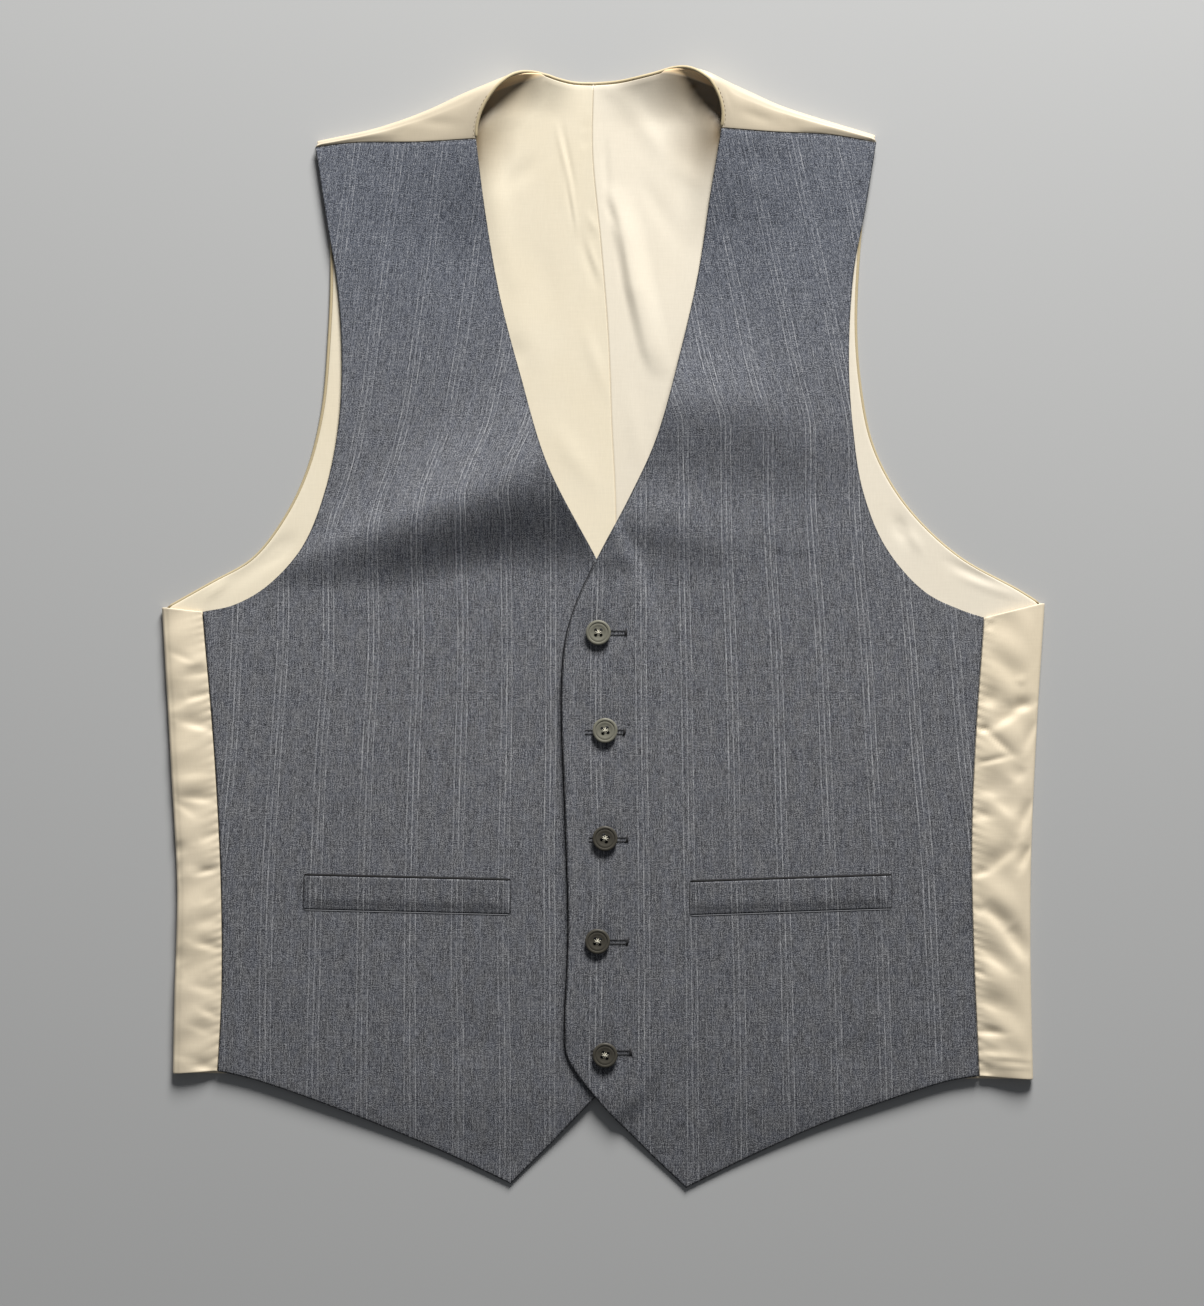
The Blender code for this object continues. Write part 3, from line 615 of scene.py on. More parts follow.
def ranged(tree, value, low, high, to_low=0.0, to_high=1.0):
    """A value taken from the range low to high onto another range, and kept within it."""
    inputs = {"Value": value, "From Min": low, "From Max": high, "To Min": to_low, "To Max": to_high}
    return add_node(tree, "ShaderNodeMapRange", inputs).outputs["Result"]


def blended(tree, share, first, second):
    """A colour between two, with this share of the second."""
    inputs = {"Factor": share, "A": first, "B": second}
    return add_node(tree, "ShaderNodeMix", inputs, data_type="RGBA").outputs["Result"]


def scaled(tree, colour, amount):
    return add_node(tree, "ShaderNodeVectorMath", {0: colour, "Scale": amount}, operation="SCALE").outputs[0]


def stretched(tree, place, amounts):
    """A place multiplied along each axis: the grain that it carries is this fine there."""
    return add_node(tree, "ShaderNodeVectorMath", {0: place, 1: amounts}, operation="MULTIPLY").outputs[0]


def noise(tree, place, scale=1.0, detail=2.0, roughness=0.5, dimensions="3D"):
    inputs = {"Vector": place, "Scale": scale, "Detail": detail, "Roughness": roughness}
    return add_node(tree, "ShaderNodeTexNoise", inputs, noise_dimensions=dimensions).outputs["Fac"]


def new_group(name, inputs):
    """A node group, and what it is given. inputs maps a name to its default: a number or a colour."""
    group = bpy.data.node_groups.new(name, "ShaderNodeTree")
    for label, value in inputs.items():
        kind = "NodeSocketColor" if isinstance(value, tuple) else "NodeSocketFloat"
        group.interface.new_socket(label, in_out="INPUT", socket_type=kind).default_value = value
    return group, add_node(group, "NodeGroupInput").outputs


def put_out(group, colour, height, roughness):
    """What every group here puts out: a colour, the height of its fine relief, and a roughness."""
    results = {"Colour": colour, "Height": height, "Roughness": roughness}
    for label in results:
        kind = "NodeSocketColor" if label == "Colour" else "NodeSocketFloat"
        group.interface.new_socket(label, in_out="OUTPUT", socket_type=kind)
    add_node(group, "NodeGroupOutput", results)
    return group


# How closely the satin's floats and its slubs follow each other along each axis, per metre, and the patches.
SATIN_FLOATS = (1900.0, 160.0, 1900.0)
SATIN_SLUBS = (90.0, 1500.0, 90.0)
SATIN_PATCHES = 13.0
FLOATS_SHARE = 0.6
# Painted light brightens the cloth away from the neck: where it begins and where it is full, y in metres.
PAINTED_LIGHT_START = 0.25
PAINTED_LIGHT_END = 0.05


def satin_weave():
    """Satin: close floats that run along the cloth, slubs, and patches where it has yellowed a little.

    A mesh may carry two masks: one of painted shade, which darkens the cloth beside the neck's edges, and
    hollow, of painted warm bounce light inside a fold.
    """
    group, given = new_group("satin weave", {
        "Cloth": rgb((232, 224, 204)), "Worn": rgb((222, 208, 178)), "Patches": 0.5, "Fade": 0.0,
        "Painted shade": rgb((100, 80, 48)), "Painted bounce light": rgb((250, 218, 172)),
    })
    place = add_node(group, "ShaderNodeTexCoord").outputs["Object"]
    fine = noise(group, stretched(group, place, SATIN_FLOATS), detail=2.0)
    slubs = noise(group, stretched(group, place, SATIN_SLUBS), detail=1.0)
    broad = noise(group, place, SATIN_PATCHES, detail=3.0, roughness=0.55)
    colour = blended(group, maths(group, "MULTIPLY", broad, given["Patches"]), given["Cloth"], given["Worn"])
    # Painted light mixed into the colour: warm bounce light inside a fold, and shade beside the neck's edges.
    for mask, deep in (("hollow", "Painted bounce light"), ("painted_shade", "Painted shade")):
        amount = add_node(group, "ShaderNodeAttribute", attribute_name=mask).outputs["Fac"]
        colour = blended(group, amount, colour, given[deep])
    shares = (maths(group, "MULTIPLY", fine, FLOATS_SHARE), maths(group, "MULTIPLY", slubs, 1 - FLOATS_SHARE))
    thread = maths(group, "ADD", *shares)
    level = ranged(group, thread, 0.25, 0.75, 0.955, 1.035)
    # Painted light: the cloth is made brighter away from the neck.
    along_y = add_node(group, "ShaderNodeSeparateXYZ", {0: place}).outputs[1]
    away_from_neck = ranged(group, along_y, PAINTED_LIGHT_START, PAINTED_LIGHT_END)
    painted_light = maths(group, "ADD", maths(group, "MULTIPLY", away_from_neck, given["Fade"]), 1.0)
    shaded = scaled(group, colour, maths(group, "MULTIPLY", level, painted_light))
    return put_out(group, shaded, thread, ranged(group, broad, 0.0, 1.0, 0.40, 0.56))


SATIN_WEAVE = satin_weave()


def new_material(name, values):
    """A material with these values on its shader, its node tree, and the shader's sockets."""
    made = bpy.data.materials.new(name)
    made.use_nodes = True
    shader = made.node_tree.nodes["Principled BSDF"].inputs
    for label, value in values.items():
        shader[label].default_value = value
    return made, made.node_tree, shader


def woven_material(
    name, group, values, bump_height, bump_strength, sheen, sheen_roughness, sheen_tint, specular,
):
    """A finish whose group paints colour, roughness and fine relief. The shader adds the sheen."""
    made, tree, shader = new_material(name, {
        "Sheen Weight": sheen, "Sheen Roughness": sheen_roughness, "Sheen Tint": sheen_tint,
        "Specular IOR Level": specular,
    })
    weave = add_node(tree, "ShaderNodeGroup", values, node_tree=group).outputs
    relief = {"Strength": bump_strength, "Distance": bump_height * MM, "Height": weave["Height"]}
    tree.links.new(weave["Colour"], shader["Base Color"])
    tree.links.new(weave["Roughness"], shader["Roughness"])
    tree.links.new(add_node(tree, "ShaderNodeBump", relief).outputs["Normal"], shader["Normal"])
    return made


# The back's satin is painted brighter away from the neck, as painted light.
BACK_SATIN = woven_material(
    "back satin", SATIN_WEAVE,
    {"Cloth": rgb((205, 193, 172)), "Worn": rgb((195, 182, 156)), "Patches": 0.8, "Fade": 0.35},
    bump_height=0.12, bump_strength=0.25, sheen=0.12, sheen_roughness=0.35, sheen_tint=rgb((255, 248, 232)),
    specular=0.45,
)


def make_back(side):
    plan = back_plan(side)
    underside = np.clip(creases(UNDERSIDE_CREASES[side], plan[..., 0], plan[..., 1]), 0.0, UNDERSIDE_LIFT)
    stand = neck_stand(side, plan[..., 0], plan[..., 1])
    back = Shell()
    lying = back.add_points(raised(plan, underside + stand), raised(plan, BACK_WALL + stand))
    strip = back.add_points(*side_wrap(side))
    shoulder = back.add_points(*shoulder_wrap(side))
    back.add_quads(lying)
    back.add_quads(np.hstack([lying[: BACK_SIDE_ROWS + 1, -1:], strip]))
    back.add_quads(np.vstack([lying[-1:, NECK_COLUMNS:], shoulder.transpose()]))
    piece = back.make(f"back_{side}_satin", BACK_SATIN)
    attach(piece, "root")
    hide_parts(f"back_{side}")


for side in SIDES:
    make_back(side)

# ---------------------------------------------------------------------------------------------------------
# The lining: two panels of paler cream satin that lie on the back, seamed down the centre. It shows inside
# the neck and in the armholes, where it has long soft creases. It is bare: nothing is printed on it.

LINING_WALL = 1.0
LINING_INSET = 1.5
LINING_HEM_INSET = 7.0
LINING_NECK_INSET = 1.0

# The long fold inside the neck: columns x, y and height, steep on its right and gentle on its left.
NECK_FOLD = [(5, 266, 0), (11, 238, 1.8), (18.5, 202, 2.5), (27, 166, 1.2), (33, 150, 0)]
NECK_FOLD_STEEP = 7.0
NECK_FOLD_GENTLE = 15.0

# The lining lies against the fronts' and strips' neck edges, which stand up towards the shoulders: the x and
# y of those edges, the share of their rise that it follows, and how far inwards and at the top it falls back.
NECK_SIDE = {
    "right": [(-62, 199), (-70.5, 248), (-76, 291.5), (-70, 312), (-60, 326)],
    "left": [(57, 213.5), (64, 260), (70.5, 298), (66, 318), (58, 329)],
}
NECK_SIDE_SHARE = 0.8
NECK_SIDE_REACH = 16.0
NECK_SIDE_FULL = 1.1
NECK_SIDE_TOP = 318.0
NECK_SIDE_TOP_FALL = 22.0

# Painted shade on the lining beside the strips' neck edges, where their shadow falls: columns x, y, amount
# and reach.
NECK_SHADE = {
    "right": [
        (-72, 262, 0, 8), (-73.5, 268.6, 0.2, 12), (-74.5, 280.6, 0.63, 19), (-74.5, 292.6, 0.8, 24),
        (-72.5, 303, 0.76, 22), (-66.3, 309.4, 0.62, 19), (-56.2, 318.3, 0.58, 18), (-48, 327, 0.58, 17),
        (-42, 330, 0.45, 13), (-34, 331, 0.25, 9), (-26, 329, 0, 6),
    ],
    "left": [
        (68, 262, 0, 5), (69.5, 268.6, 0.25, 6), (69.5, 280.6, 0.42, 22), (69, 292.6, 0.86, 35),
        (68.5, 303, 0.82, 33), (60.7, 315.7, 0.8, 29), (53.1, 324.6, 0.86, 32), (46, 332, 0.84, 28),
        (38, 333, 0.65, 19), (30, 331.5, 0.48, 15), (22, 329.8, 0.35, 12), (14, 328.3, 0.2, 10),
        (6, 327.3, 0, 8),
    ],
}

# Right beside those edges the painted shade is this much deeper again, within this reach.
NECK_SHADE_NEAR = 1.22
NECK_SHADE_NEAR_REACH = 7.5
NECK_SHADE_STEPS = 60

# Columns: x and y of one end, x and y of the other, width and height.
LINING_CREASES = {
    "right": [
        (-28.5, 301, -20.5, 268, 1.5, 0.4), (-24.5, 300, -17, 262, 1.5, -0.4),
        (-20.5, 268, -15.5, 236, 1.5, 0.35), (-22.5, 268, -17.5, 240, 1.3, -0.3),
        (-70, 305, -41, 304, 4, 0.35), (-41, 280, -56, 264, 4.5, -0.5),
        (-10, 247, -3, 237, 2, 0.4), (-10, 231, -2, 210, 2, 0.45),
        (-13, 299, -8, 300.5, 1.6, -0.4), (-14, 291, -8.5, 293, 1.6, -0.3),
        (-14, 236, -4, 205, 3, -0.4), (-55, 200, -38, 150, 10, 0.5),
        (-60, 172, -48, 158, 7, -0.6), (-12, 180, 2, 140, 4, 0.35),
        (-30, 120, -5, 84, 6, 0.4), (-186, 52, -228, 22, 5, -0.6),
        (-66, 240, -50, 200, 6, 0.4), (-40, 232, -30, 190, 7, -0.3),
        (-188, 54, -200, 40, 4, -0.7), (-226, 28, -238, 17, 2.4, 0.6),
    ],
    "left": [
        (1.5, 290, 2, 256, 2.4, -0.5), (2, 256, 9, 238, 2.4, -0.7),
        (9, 238, 12.5, 208, 2.4, -0.5), (-4, 326, 10, 319, 3.5, 0.4),
        (10, 319, 40, 279, 5.5, 0.5), (40, 279, 62, 262, 6, 0.5),
        (22, 270, 46, 230, 5, -0.4), (46, 315, 52, 306, 1.8, 0.5),
        (52, 317, 58, 307, 1.8, -0.5), (58, 316, 62, 306, 1.8, 0.5),
        (40, 216, 30, 150, 8, 0.4), (16, 140, 22, 96, 5, 0.3),
        (175, 66, 182, 52, 4, -0.9), (206, 40, 236, 24, 3, -0.6),
        (214, 31, 248, 18, 2.6, 0.5), (181, 60, 190, 46, 3, 0.5),
    ],
}
LINING_ROWS = 290
LINING_NECK_COLUMNS = 40
LINING_OUTER_COLUMNS = 52
LINING_LEAST = 0.4
# How far across the lining its inset starts, how much of its width the neck's inset takes to end, and how far
# along the shoulder it lines the fold's hollow, no nearer to the fold's middle than this.
INSET_START = 0.7
NECK_INSET_END = 0.12
HOLLOW_SHARE = 0.34
HOLLOW_STEPS = 12
HOLLOW_LEAST = 0.2


def neck_fold(x, y):
    """The height of the long fold inside the neck."""
    table = np.array(NECK_FOLD[::-1])
    middle = np.interp(y, table[:, 1], table[:, 0])
    height = np.interp(y, table[:, 1], table[:, 2], left=0.0, right=0.0)
    past = x - middle
    return height * ease(1 - np.where(past < 0, -past / NECK_FOLD_STEEP, past / NECK_FOLD_GENTLE))


def lining_relief(side, x, y):
    return creases(LINING_CREASES[side], x, y) + neck_fold(x, y)


def lining_rise(side, x, y):
    """How far the lining stands up with the neck's edge and along the fronts' neck edges."""
    line = smooth_line(NECK_SIDE[side])
    inward = -SIDES[side] * (x - np.interp(y, line[:, 1], line[:, 0]))
    beside = NECK_SIDE_SHARE * shoulder_lift(side, x, y) * ease(NECK_SIDE_FULL - inward / NECK_SIDE_REACH)
    beside = beside * ease((NECK_SIDE_TOP - y) / NECK_SIDE_TOP_FALL)
    return (neck_stand(side, x, y) ** 4 + beside**4) ** 0.25


def neck_shade(side, x, y):
    """How much painted shade darkens the lining, most beside the strip's neck edge and less and less away
    from it.
    """
    total = np.zeros_like(x)
    places = along(np.array(NECK_SHADE[side]), np.linspace(0, 1, NECK_SHADE_STEPS + 1))
    for place_x, place_y, amount, reach in places:
        distance = np.hypot(x - place_x, y - place_y)
        beside = min(NECK_SHADE_NEAR * amount, 1.0) * (1 - distance / NECK_SHADE_NEAR_REACH)
        total = np.maximum(total, np.maximum(amount * (1 - distance / reach), beside))
    return total


def grid_at(plan, down, across):
    """Points of a grid at fractional rows and columns."""
    rows, columns = plan.shape[0] - 1, plan.shape[1] - 1
    row = np.clip(down * rows, 0, rows - 1e-9)
    column = np.clip(across * columns, 0, columns - 1e-9)
    i, j = row.astype(int), column.astype(int)
    s, t = (row - i)[..., None], (column - j)[..., None]
    near = (1 - t) * plan[i, j] + t * plan[i, j + 1]
    far = (1 - t) * plan[i + 1, j] + t * plan[i + 1, j + 1]
    return (1 - s) * near + s * far


def lining_hollow(side, fractions):
    """Sections of the lining up the inside of the shoulder fold, its face first."""
    start, crest, end = shoulder_frame(side, fractions)
    radii, _ = shoulder_levels(side, fractions)
    reach = crest - (start + end) / 2
    size = np.linalg.norm(reach, axis=1, keepdims=True)
    stand = neck_stand(side, *start.T)
    faces = []
    for inset in (BACK_WALL + GAP + LINING_WALL, BACK_WALL + GAP):
        sections = []
        for turned, middle, cosine, sine in half_turn(start, end, HOLLOW_STEPS):
            over = middle + reach * (1 - inset / size) * cosine
            height = radii + np.maximum(radii - inset, HOLLOW_LEAST) * sine
            sections.append(raised(over, height + stand * (1 - turned)))
        faces.append(np.stack(sections, axis=1))
    return faces


# Each lining panel's colours, painted brighter away from the neck as painted light.
LINING_COLOURS = {
    "right": {"Cloth": rgb((229, 220, 200)), "Worn": rgb((221, 208, 180)), "Patches": 0.8, "Fade": 0.16},
    "left": {"Cloth": rgb((233, 225, 209)), "Worn": rgb((226, 215, 193)), "Patches": 0.7, "Fade": 0.04},
}


def make_lining(side):
    satin = woven_material(
        f"{side} lining satin", SATIN_WEAVE, LINING_COLOURS[side], bump_height=0.10, bump_strength=0.2,
        sheen=0.10, sheen_roughness=0.35, sheen_tint=rgb((255, 250, 238)), specular=0.4,
    )
    plan = back_plan(side)
    corner = NECK_COLUMNS / (NECK_COLUMNS + SHOULDER_COLUMNS)
    across = stops(LINING_NECK_COLUMNS, LINING_OUTER_COLUMNS, corner)
    length = np.linalg.norm(plan[-1, 0] - plan[0, 0])
    down = np.linspace(LINING_HEM_INSET / length, 1, LINING_ROWS + 1)
    ends = [grid_at(plan, down, np.full_like(down, end)) for end in (0.0, 1.0)]
    widths = np.linalg.norm(ends[1] - ends[0], axis=1)
    inset = ease((across - INSET_START) / (1 - INSET_START))[None] * (LINING_INSET / widths)[:, None]
    beside_neck = ease((corner + NECK_INSET_END - across) / NECK_INSET_END)
    below_neck = LINING_NECK_INSET / length * beside_neck[None] * down[:, None]
    grid = grid_at(plan, down[:, None] - below_neck, across[None] - inset)
    x, y = grid[..., 0], grid[..., 1]
    bottom = LINING_FLOOR + lining_rise(side, x, y)
    top = bottom + np.maximum(LINING_WALL + lining_relief(side, x, y), LINING_LEAST)
    lining = Shell()
    lying = lining.add_points(raised(grid, top), raised(grid, bottom))
    lining.add_quads(lying)
    folds = (across[LINING_NECK_COLUMNS:] - corner) / (1 - corner)
    folds = folds[folds <= HOLLOW_SHARE]
    hollow = lining.add_points(*lining_hollow(side, folds))
    rim = lying[-1, LINING_NECK_COLUMNS : LINING_NECK_COLUMNS + len(folds)]
    lining.add_quads(np.vstack([rim, hollow.transpose()]))
    inside = hollow[0, 0]
    # Painted shade beside the strips' neck edges, kept off the folds' hollows.
    painted_shade = neck_shade(side, lining.outer[:, 0], lining.outer[:, 1])
    painted_shade[inside:] = 0.0
    # Painted warm bounce light: inside the shoulder folds the lining is mixed towards a warm colour.
    painted_bounce_light = np.zeros(len(painted_shade))
    painted_bounce_light[inside:] = 1.0
    piece = lining.make(f"lining_{side}_satin", satin, masks={"painted_shade": painted_shade, "hollow": painted_bounce_light})
    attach(piece, "root")
    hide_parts(f"back_lining_{side}")


for side in SIDES:
    make_lining(side)

# ---------------------------------------------------------------------------------------------------------
# The turned edges: where back and lining are bagged out together, round the neck and the armholes, the back's
# satin rolls over the edge. The lining's centre seam is pressed to a low ridge.

ROLL_RADIUS = 1.0
ROLL_HEIGHT = 1.2
ROLL_INSET = 0.5
ROLL_SIDES = 10
ARMHOLE_ROLL_INSET = 0.7
ARMHOLE_ROLL_DROP = 0.1
SEAM_RIDGE_RADIUS = 0.5
SEAM_RIDGE_HEIGHT = 1.72

# A roll or thread tapers to this share at its ends. TUBE_UPRIGHT, which no line follows, turns its rings.
TUBE_TAPER = 0.45
TUBE_UPRIGHT = (0.13, 0.21, 1.0)


def tube(points, radius, sides=6):
    """Rings of points along a line, tapered at its ends, and the faces between them."""
    points = np.array(points, float)
    run = np.gradient(points, axis=0)
    run /= np.linalg.norm(run, axis=1, keepdims=True)
    across = np.cross(run, TUBE_UPRIGHT)
    across /= np.linalg.norm(across, axis=1, keepdims=True)
    upward = np.cross(across, run)
    thickness = np.full(len(points), radius)
    thickness[[0, -1]] *= TUBE_TAPER
    angles = 2 * math.pi * np.arange(sides) / sides
    rings = points[:, None] + thickness[:, None, None] * (
        np.cos(angles)[None, :, None] * across[:, None] + np.sin(angles)[None, :, None] * upward[:, None]
    )
    faces = []
    for ring in range(len(points) - 1):
        for here in range(sides):
            after = (here + 1) % sides
            start, end = ring * sides, (ring + 1) * sides
            faces.append([start + here, start + after, end + after, end + here])
    last = (len(points) - 1) * sides
    caps = [list(range(sides))[::-1], [last + here for here in range(sides)]]
    return rings.reshape(-1, 3), [*faces, *caps]


def threads(name, strands, radius, material, sides=6):
    """Many threads or rolls joined in one piece. A strand is a list of points."""
    vertices, faces = [], []
    count = 0
    for strand in strands:
        points, strand_faces = tube(strand, radius, sides)
        vertices.append(points)
        faces.extend([[corner + count for corner in face] for face in strand_faces])
        count += len(points)
    return place_mesh(name, np.vstack(vertices), faces, material)


def thread_material(name, colour):
    """Plain thread or cloth edge, lighter and darker as it twists."""
    made, tree, shader = new_material(name, {"Roughness": 0.7, "Specular IOR Level": 0.3})
    twist = noise(tree, add_node(tree, "ShaderNodeTexCoord").outputs["Object"], 2600.0, detail=1.0)
    tone = ranged(tree, twist, 0.0, 1.0, 0.7, 1.25)
    tree.links.new(scaled(tree, rgb(colour)[:3], tone), shader["Base Color"])
    return made


def neck_roll(side):
    """From the centre seam along the neck, then up over the shoulder fold's edge to the shoulder seam."""
    plan = back_plan(side)
    line = plan[-1, : NECK_COLUMNS + 1] - np.array([0.0, ROLL_INSET])
    lying = raised(line, ROLL_HEIGHT + neck_stand(side, line[:, 0], line[:, 1]))
    outer, inner = shoulder_wrap(side)
    return np.vstack([lying[:-1], ((outer[0] + inner[0]) / 2)[1:]])


def armhole_roll(side):
    edge = back_plan(side)[BACK_SIDE_ROWS:, -1]
    inward = np.array([-SIDES[side] * ARMHOLE_ROLL_INSET, 0.0])
    return raised(edge + inward, np.full(len(edge), ROLL_HEIGHT - ARMHOLE_ROLL_DROP))


# The rolls are the back's own satin in a darker copy: painted shade on the rolled edges.
EDGE_SATIN_PAINTED_SHADE = woven_material(
    "turned edge satin painted shade", SATIN_WEAVE,
    {"Cloth": rgb((194, 180, 148)), "Worn": rgb((182, 166, 132)), "Patches": 0.8},
    bump_height=0.12, bump_strength=0.25, sheen=0.05, sheen_roughness=0.4, sheen_tint=rgb((255, 248, 232)),
    specular=0.25,
)
whole_neck = np.vstack([neck_roll("right")[::-1], neck_roll("left")[1:]])
neck_rolls = threads("neck_edge_roll", [whole_neck], ROLL_RADIUS, EDGE_SATIN_PAINTED_SHADE, ROLL_SIDES)
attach(neck_rolls, "root")
for side in SIDES:
    roll = threads(f"armhole_edge_roll_{side}", [armhole_roll(side)], ROLL_RADIUS, EDGE_SATIN_PAINTED_SHADE, ROLL_SIDES)
    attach(roll, "root")

# Small stitches hold the shoulder strips just beside the neck: their spacing and length, their place between
# the strip's first two sections and above it, and how far from the strip's ends they begin and stop.
STRIP_STITCH_SPACING = 2.7
STRIP_STITCH_LENGTH = 1.2
STRIP_STITCH_PLACE = 0.7
STRIP_STITCH_RISE = 0.1
STRIP_STITCH_ENDS = (1.0, 2.0)
STRIP_STITCH_RADIUS = 0.28
STRIP_THREAD = thread_material("strip stitch thread", (118, 98, 68))
for side in SIDES:
    first, second = shoulder_wrap(side)[0][:2, FOLD_STEPS + 1 :]
    beside = (1 - STRIP_STITCH_PLACE) * first + STRIP_STITCH_PLACE * second
    beside = beside + np.array([0.0, 0.0, STRIP_STITCH_RISE])
    length = lengths(beside)[-1]
    starts = np.arange(STRIP_STITCH_ENDS[0], length - STRIP_STITCH_ENDS[1], STRIP_STITCH_SPACING)
    strands = [along(beside, np.array([here, here + STRIP_STITCH_LENGTH]) / length) for here in starts]
    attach(threads(f"strip_stitches_{side}", strands, STRIP_STITCH_RADIUS, STRIP_THREAD, sides=5), "root")

ridge_line = smooth_line(CENTRE_SEAM)
ridge_line = raised(ridge_line, np.full(len(ridge_line), SEAM_RIDGE_HEIGHT))
ridge = threads("lining_centre_seam", [ridge_line], SEAM_RIDGE_RADIUS, BACK_SATIN, sides=8)
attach(ridge, "root")

# ---------------------------------------------------------------------------------------------------------
# The fronts: mid-grey worsted with groups of fine light stripes, canvased inside and faced at the edges. They
# lie on the back, the left one over the right, fall in a soft fold across the chest, and hang past the back's
# hem in two points.

OVERLAP_STEP = FRONT_WALL + GAP
OVERLAP_TOP = 41.0
SETTLE_START = -274.0
SETTLE_LENGTH = 55.0
STEP_MARGIN = 16.0
STEP_FALL = 8.0
# The overlap's free edge curls up a little: how far, its reach inwards, and the y where it starts and ends,
# each with the length that it takes.
EDGE_CURL = 1.8
CURL_REACH = 7.0
CURL_START = 34.0
CURL_START_LENGTH = 30.0
CURL_END = -256.0
CURL_END_LENGTH = 16.0

# Columns x and y.
FRONT_ARMHOLE = {
    "right": [
        (-172.5, 287.5), (-166, 244.5), (-159.4, 205), (-156.7, 160.5), (-158.8, 121),
        (-167, 81), (-181, 47), (-202, 24.5), (-221.5, 13.5), (-240, 9.5),
    ],
    "left": [
        (163.5, 290.5), (157, 250.5), (150, 213.5), (147, 160.5), (149.5, 118.5),
        (155.5, 82), (169, 48.5), (192.5, 21.5), (214.5, 10.5), (228, 6),
    ],
}
HEM = {
    "right": [(-231, -265.5), (-208.5, -271), (-161.5, -287.5), (-103.5, -311), (-55.5, -333.5)],
    "left": [(225, -268.5), (205.5, -272), (174, -282), (130, -298), (82, -320), (49.5, -336)],
}
FRONT_EDGE = {
    "right": [
        (-76, 291.5), (-70.5, 248), (-62, 199), (-49.5, 151), (-33, 96.5), (-4, 41),
        (9, 14), (16.5, -10), (19, -44), (19.5, -150), (19.5, -244), (12.5, -263.5),
        (-5, -281.5), (-32.5, -310.5), (-55.5, -333.5),
    ],
    "left": [
        (70.5, 298), (64, 260), (57, 213.5), (46.5, 167), (31.5, 113), (16, 79),
        (-4, 41), (-16.5, 13.5), (-23, -10), (-25, -45), (-23, -107), (-21, -182),
        (-23, -236.5), (-22, -256), (-5, -281), (26.5, -314), (49.5, -336),
    ],
}
# The fold across the chest: columns x, y, height, width above and width below. It climbs ever more steeply
# from above, is rounded over the crest, and falls softly below.
CHEST_FOLD = {
    "right": [
        (-181, 42, 2.6, 28, 22), (-161, 49, 4.6, 33, 29), (-146, 54.5, 6.2, 38, 34),
        (-134, 58.6, 7.9, 44, 38), (-122, 62.8, 10.1, 58, 42), (-98, 71.5, 12.2, 62, 45),
        (-74, 79.5, 13.7, 73, 47), (-50, 90, 16.5, 99, 57), (-34, 96.5, 17.3, 110, 67),
    ],
    "left": [
        (20, 137, 9.2, 76, 58), (46, 135.5, 8.8, 74, 58), (88, 133, 7.4, 72, 58),
        (100, 130, 6.4, 98, 55), (118, 123, 5.2, 190, 50), (142, 122, 2.6, 200, 46),
        (156, 121, 1.6, 200, 44),
    ],
}
FOLD_ROUNDING = 0.12
# Soft swells and hollows of the fronts: x and y of one end, x and y of the other, width and height.
FRONT_CREASES = {
    "right": [
        (-150, 236, -110, 190, 16, 0.5),
        (-98, 262, -84, 200, 10, -0.5), (-70, -225, -84, -262, 16, -0.8),
        (-170, -30, -150, -110, 18, 0.5), (-60, -30, -40, -120, 16, -0.4),
        (-200, -190, -180, -250, 14, 0.5), (-125, -195, -120, -285, 15, 0.5),
    ],
    "left": [
        (75, 284, 112, 276, 9, -0.8),
        (120, 240, 98, 180, 15, 0.6), (40, -190, 30, -214, 12, -0.6),
        (46, -262, 64, -284, 14, -0.7), (140, -250, 160, -268, 12, -0.6),
        (160, -20, 170, -110, 18, 0.5), (90, -20, 84, -120, 16, -0.4),
        (110, -190, 112, -280, 15, 0.5),
    ],
}
# Swells that rise gently from above, over SWELL_UPPER times their width, and drop below. The same columns.
SWELL_UPPER = 2.3
FRONT_SWELLS = {"right": [], "left": [(-30.0, 76.5, 84.0, 51.0, 17.0, 4.4)]}

# Where the stripes run: columns y, then the x of groups 1, 3, 5 and 7, counted towards the wearer's left.
STRIPE_NUMBERS = (1, 3, 5, 7)
STRIPE_COURSES = {
    "right": [
        (340, -142, -89.5, -36.5, 16.5), (286.5, -149, -96, -43.5, 9.5), (226.5, -157, -104, -51, 1.5),
        (166.5, -164, -112, -59, -6), (142.5, -167.5, -115.5, -64.5, -13), (127.5, -170, -118, -67.5, -19),
        (114, -172.5, -121.5, -72, -25), (101, -175, -125, -78, -30), (89, -178, -129, -82.5, -31.5),
        (81, -180, -132, -85, -31.5), (64.5, -185, -136.5, -85, -31.5), (46.5, -190, -138, -85, -31.5),
        (-13.5, -192, -137.5, -84, -31.5), (-73.5, -196, -141, -85.5, -31.5),
        (-133.5, -200, -143, -87, -32.5), (-193.5, -202, -144, -88, -32),
        (-253.5, -202.5, -145, -87, -32), (-340, -202.5, -145, -87, -32),
    ],
    "left": [
        (340, -32, 21.5, 74.5, 128.5), (286.5, -20, 33.5, 87, 141), (226.5, -6, 46.5, 100.5, 154),
        (196.5, 1, 54, 107, 160.5), (166.5, 7.5, 60, 113, 166.5), (142.5, 14.5, 66.5, 118.5, 171.5),
        (124.5, 20.5, 72.5, 123, 174.5), (106.5, 22, 73, 124, 176), (76.5, 22.5, 73.5, 124, 177.5),
        (46.5, 22.5, 74, 126, 178.5), (-13.5, 22.5, 76.5, 130.5, 184), (-73.5, 23, 78, 133, 188),
        (-133.5, 24, 79, 135.5, 193.5), (-193.5, 24.5, 81, 138, 196.5), (-253.5, 24.5, 82, 139.5, 199),
        (-340, 25, 83, 141.5, 201),
    ],
}
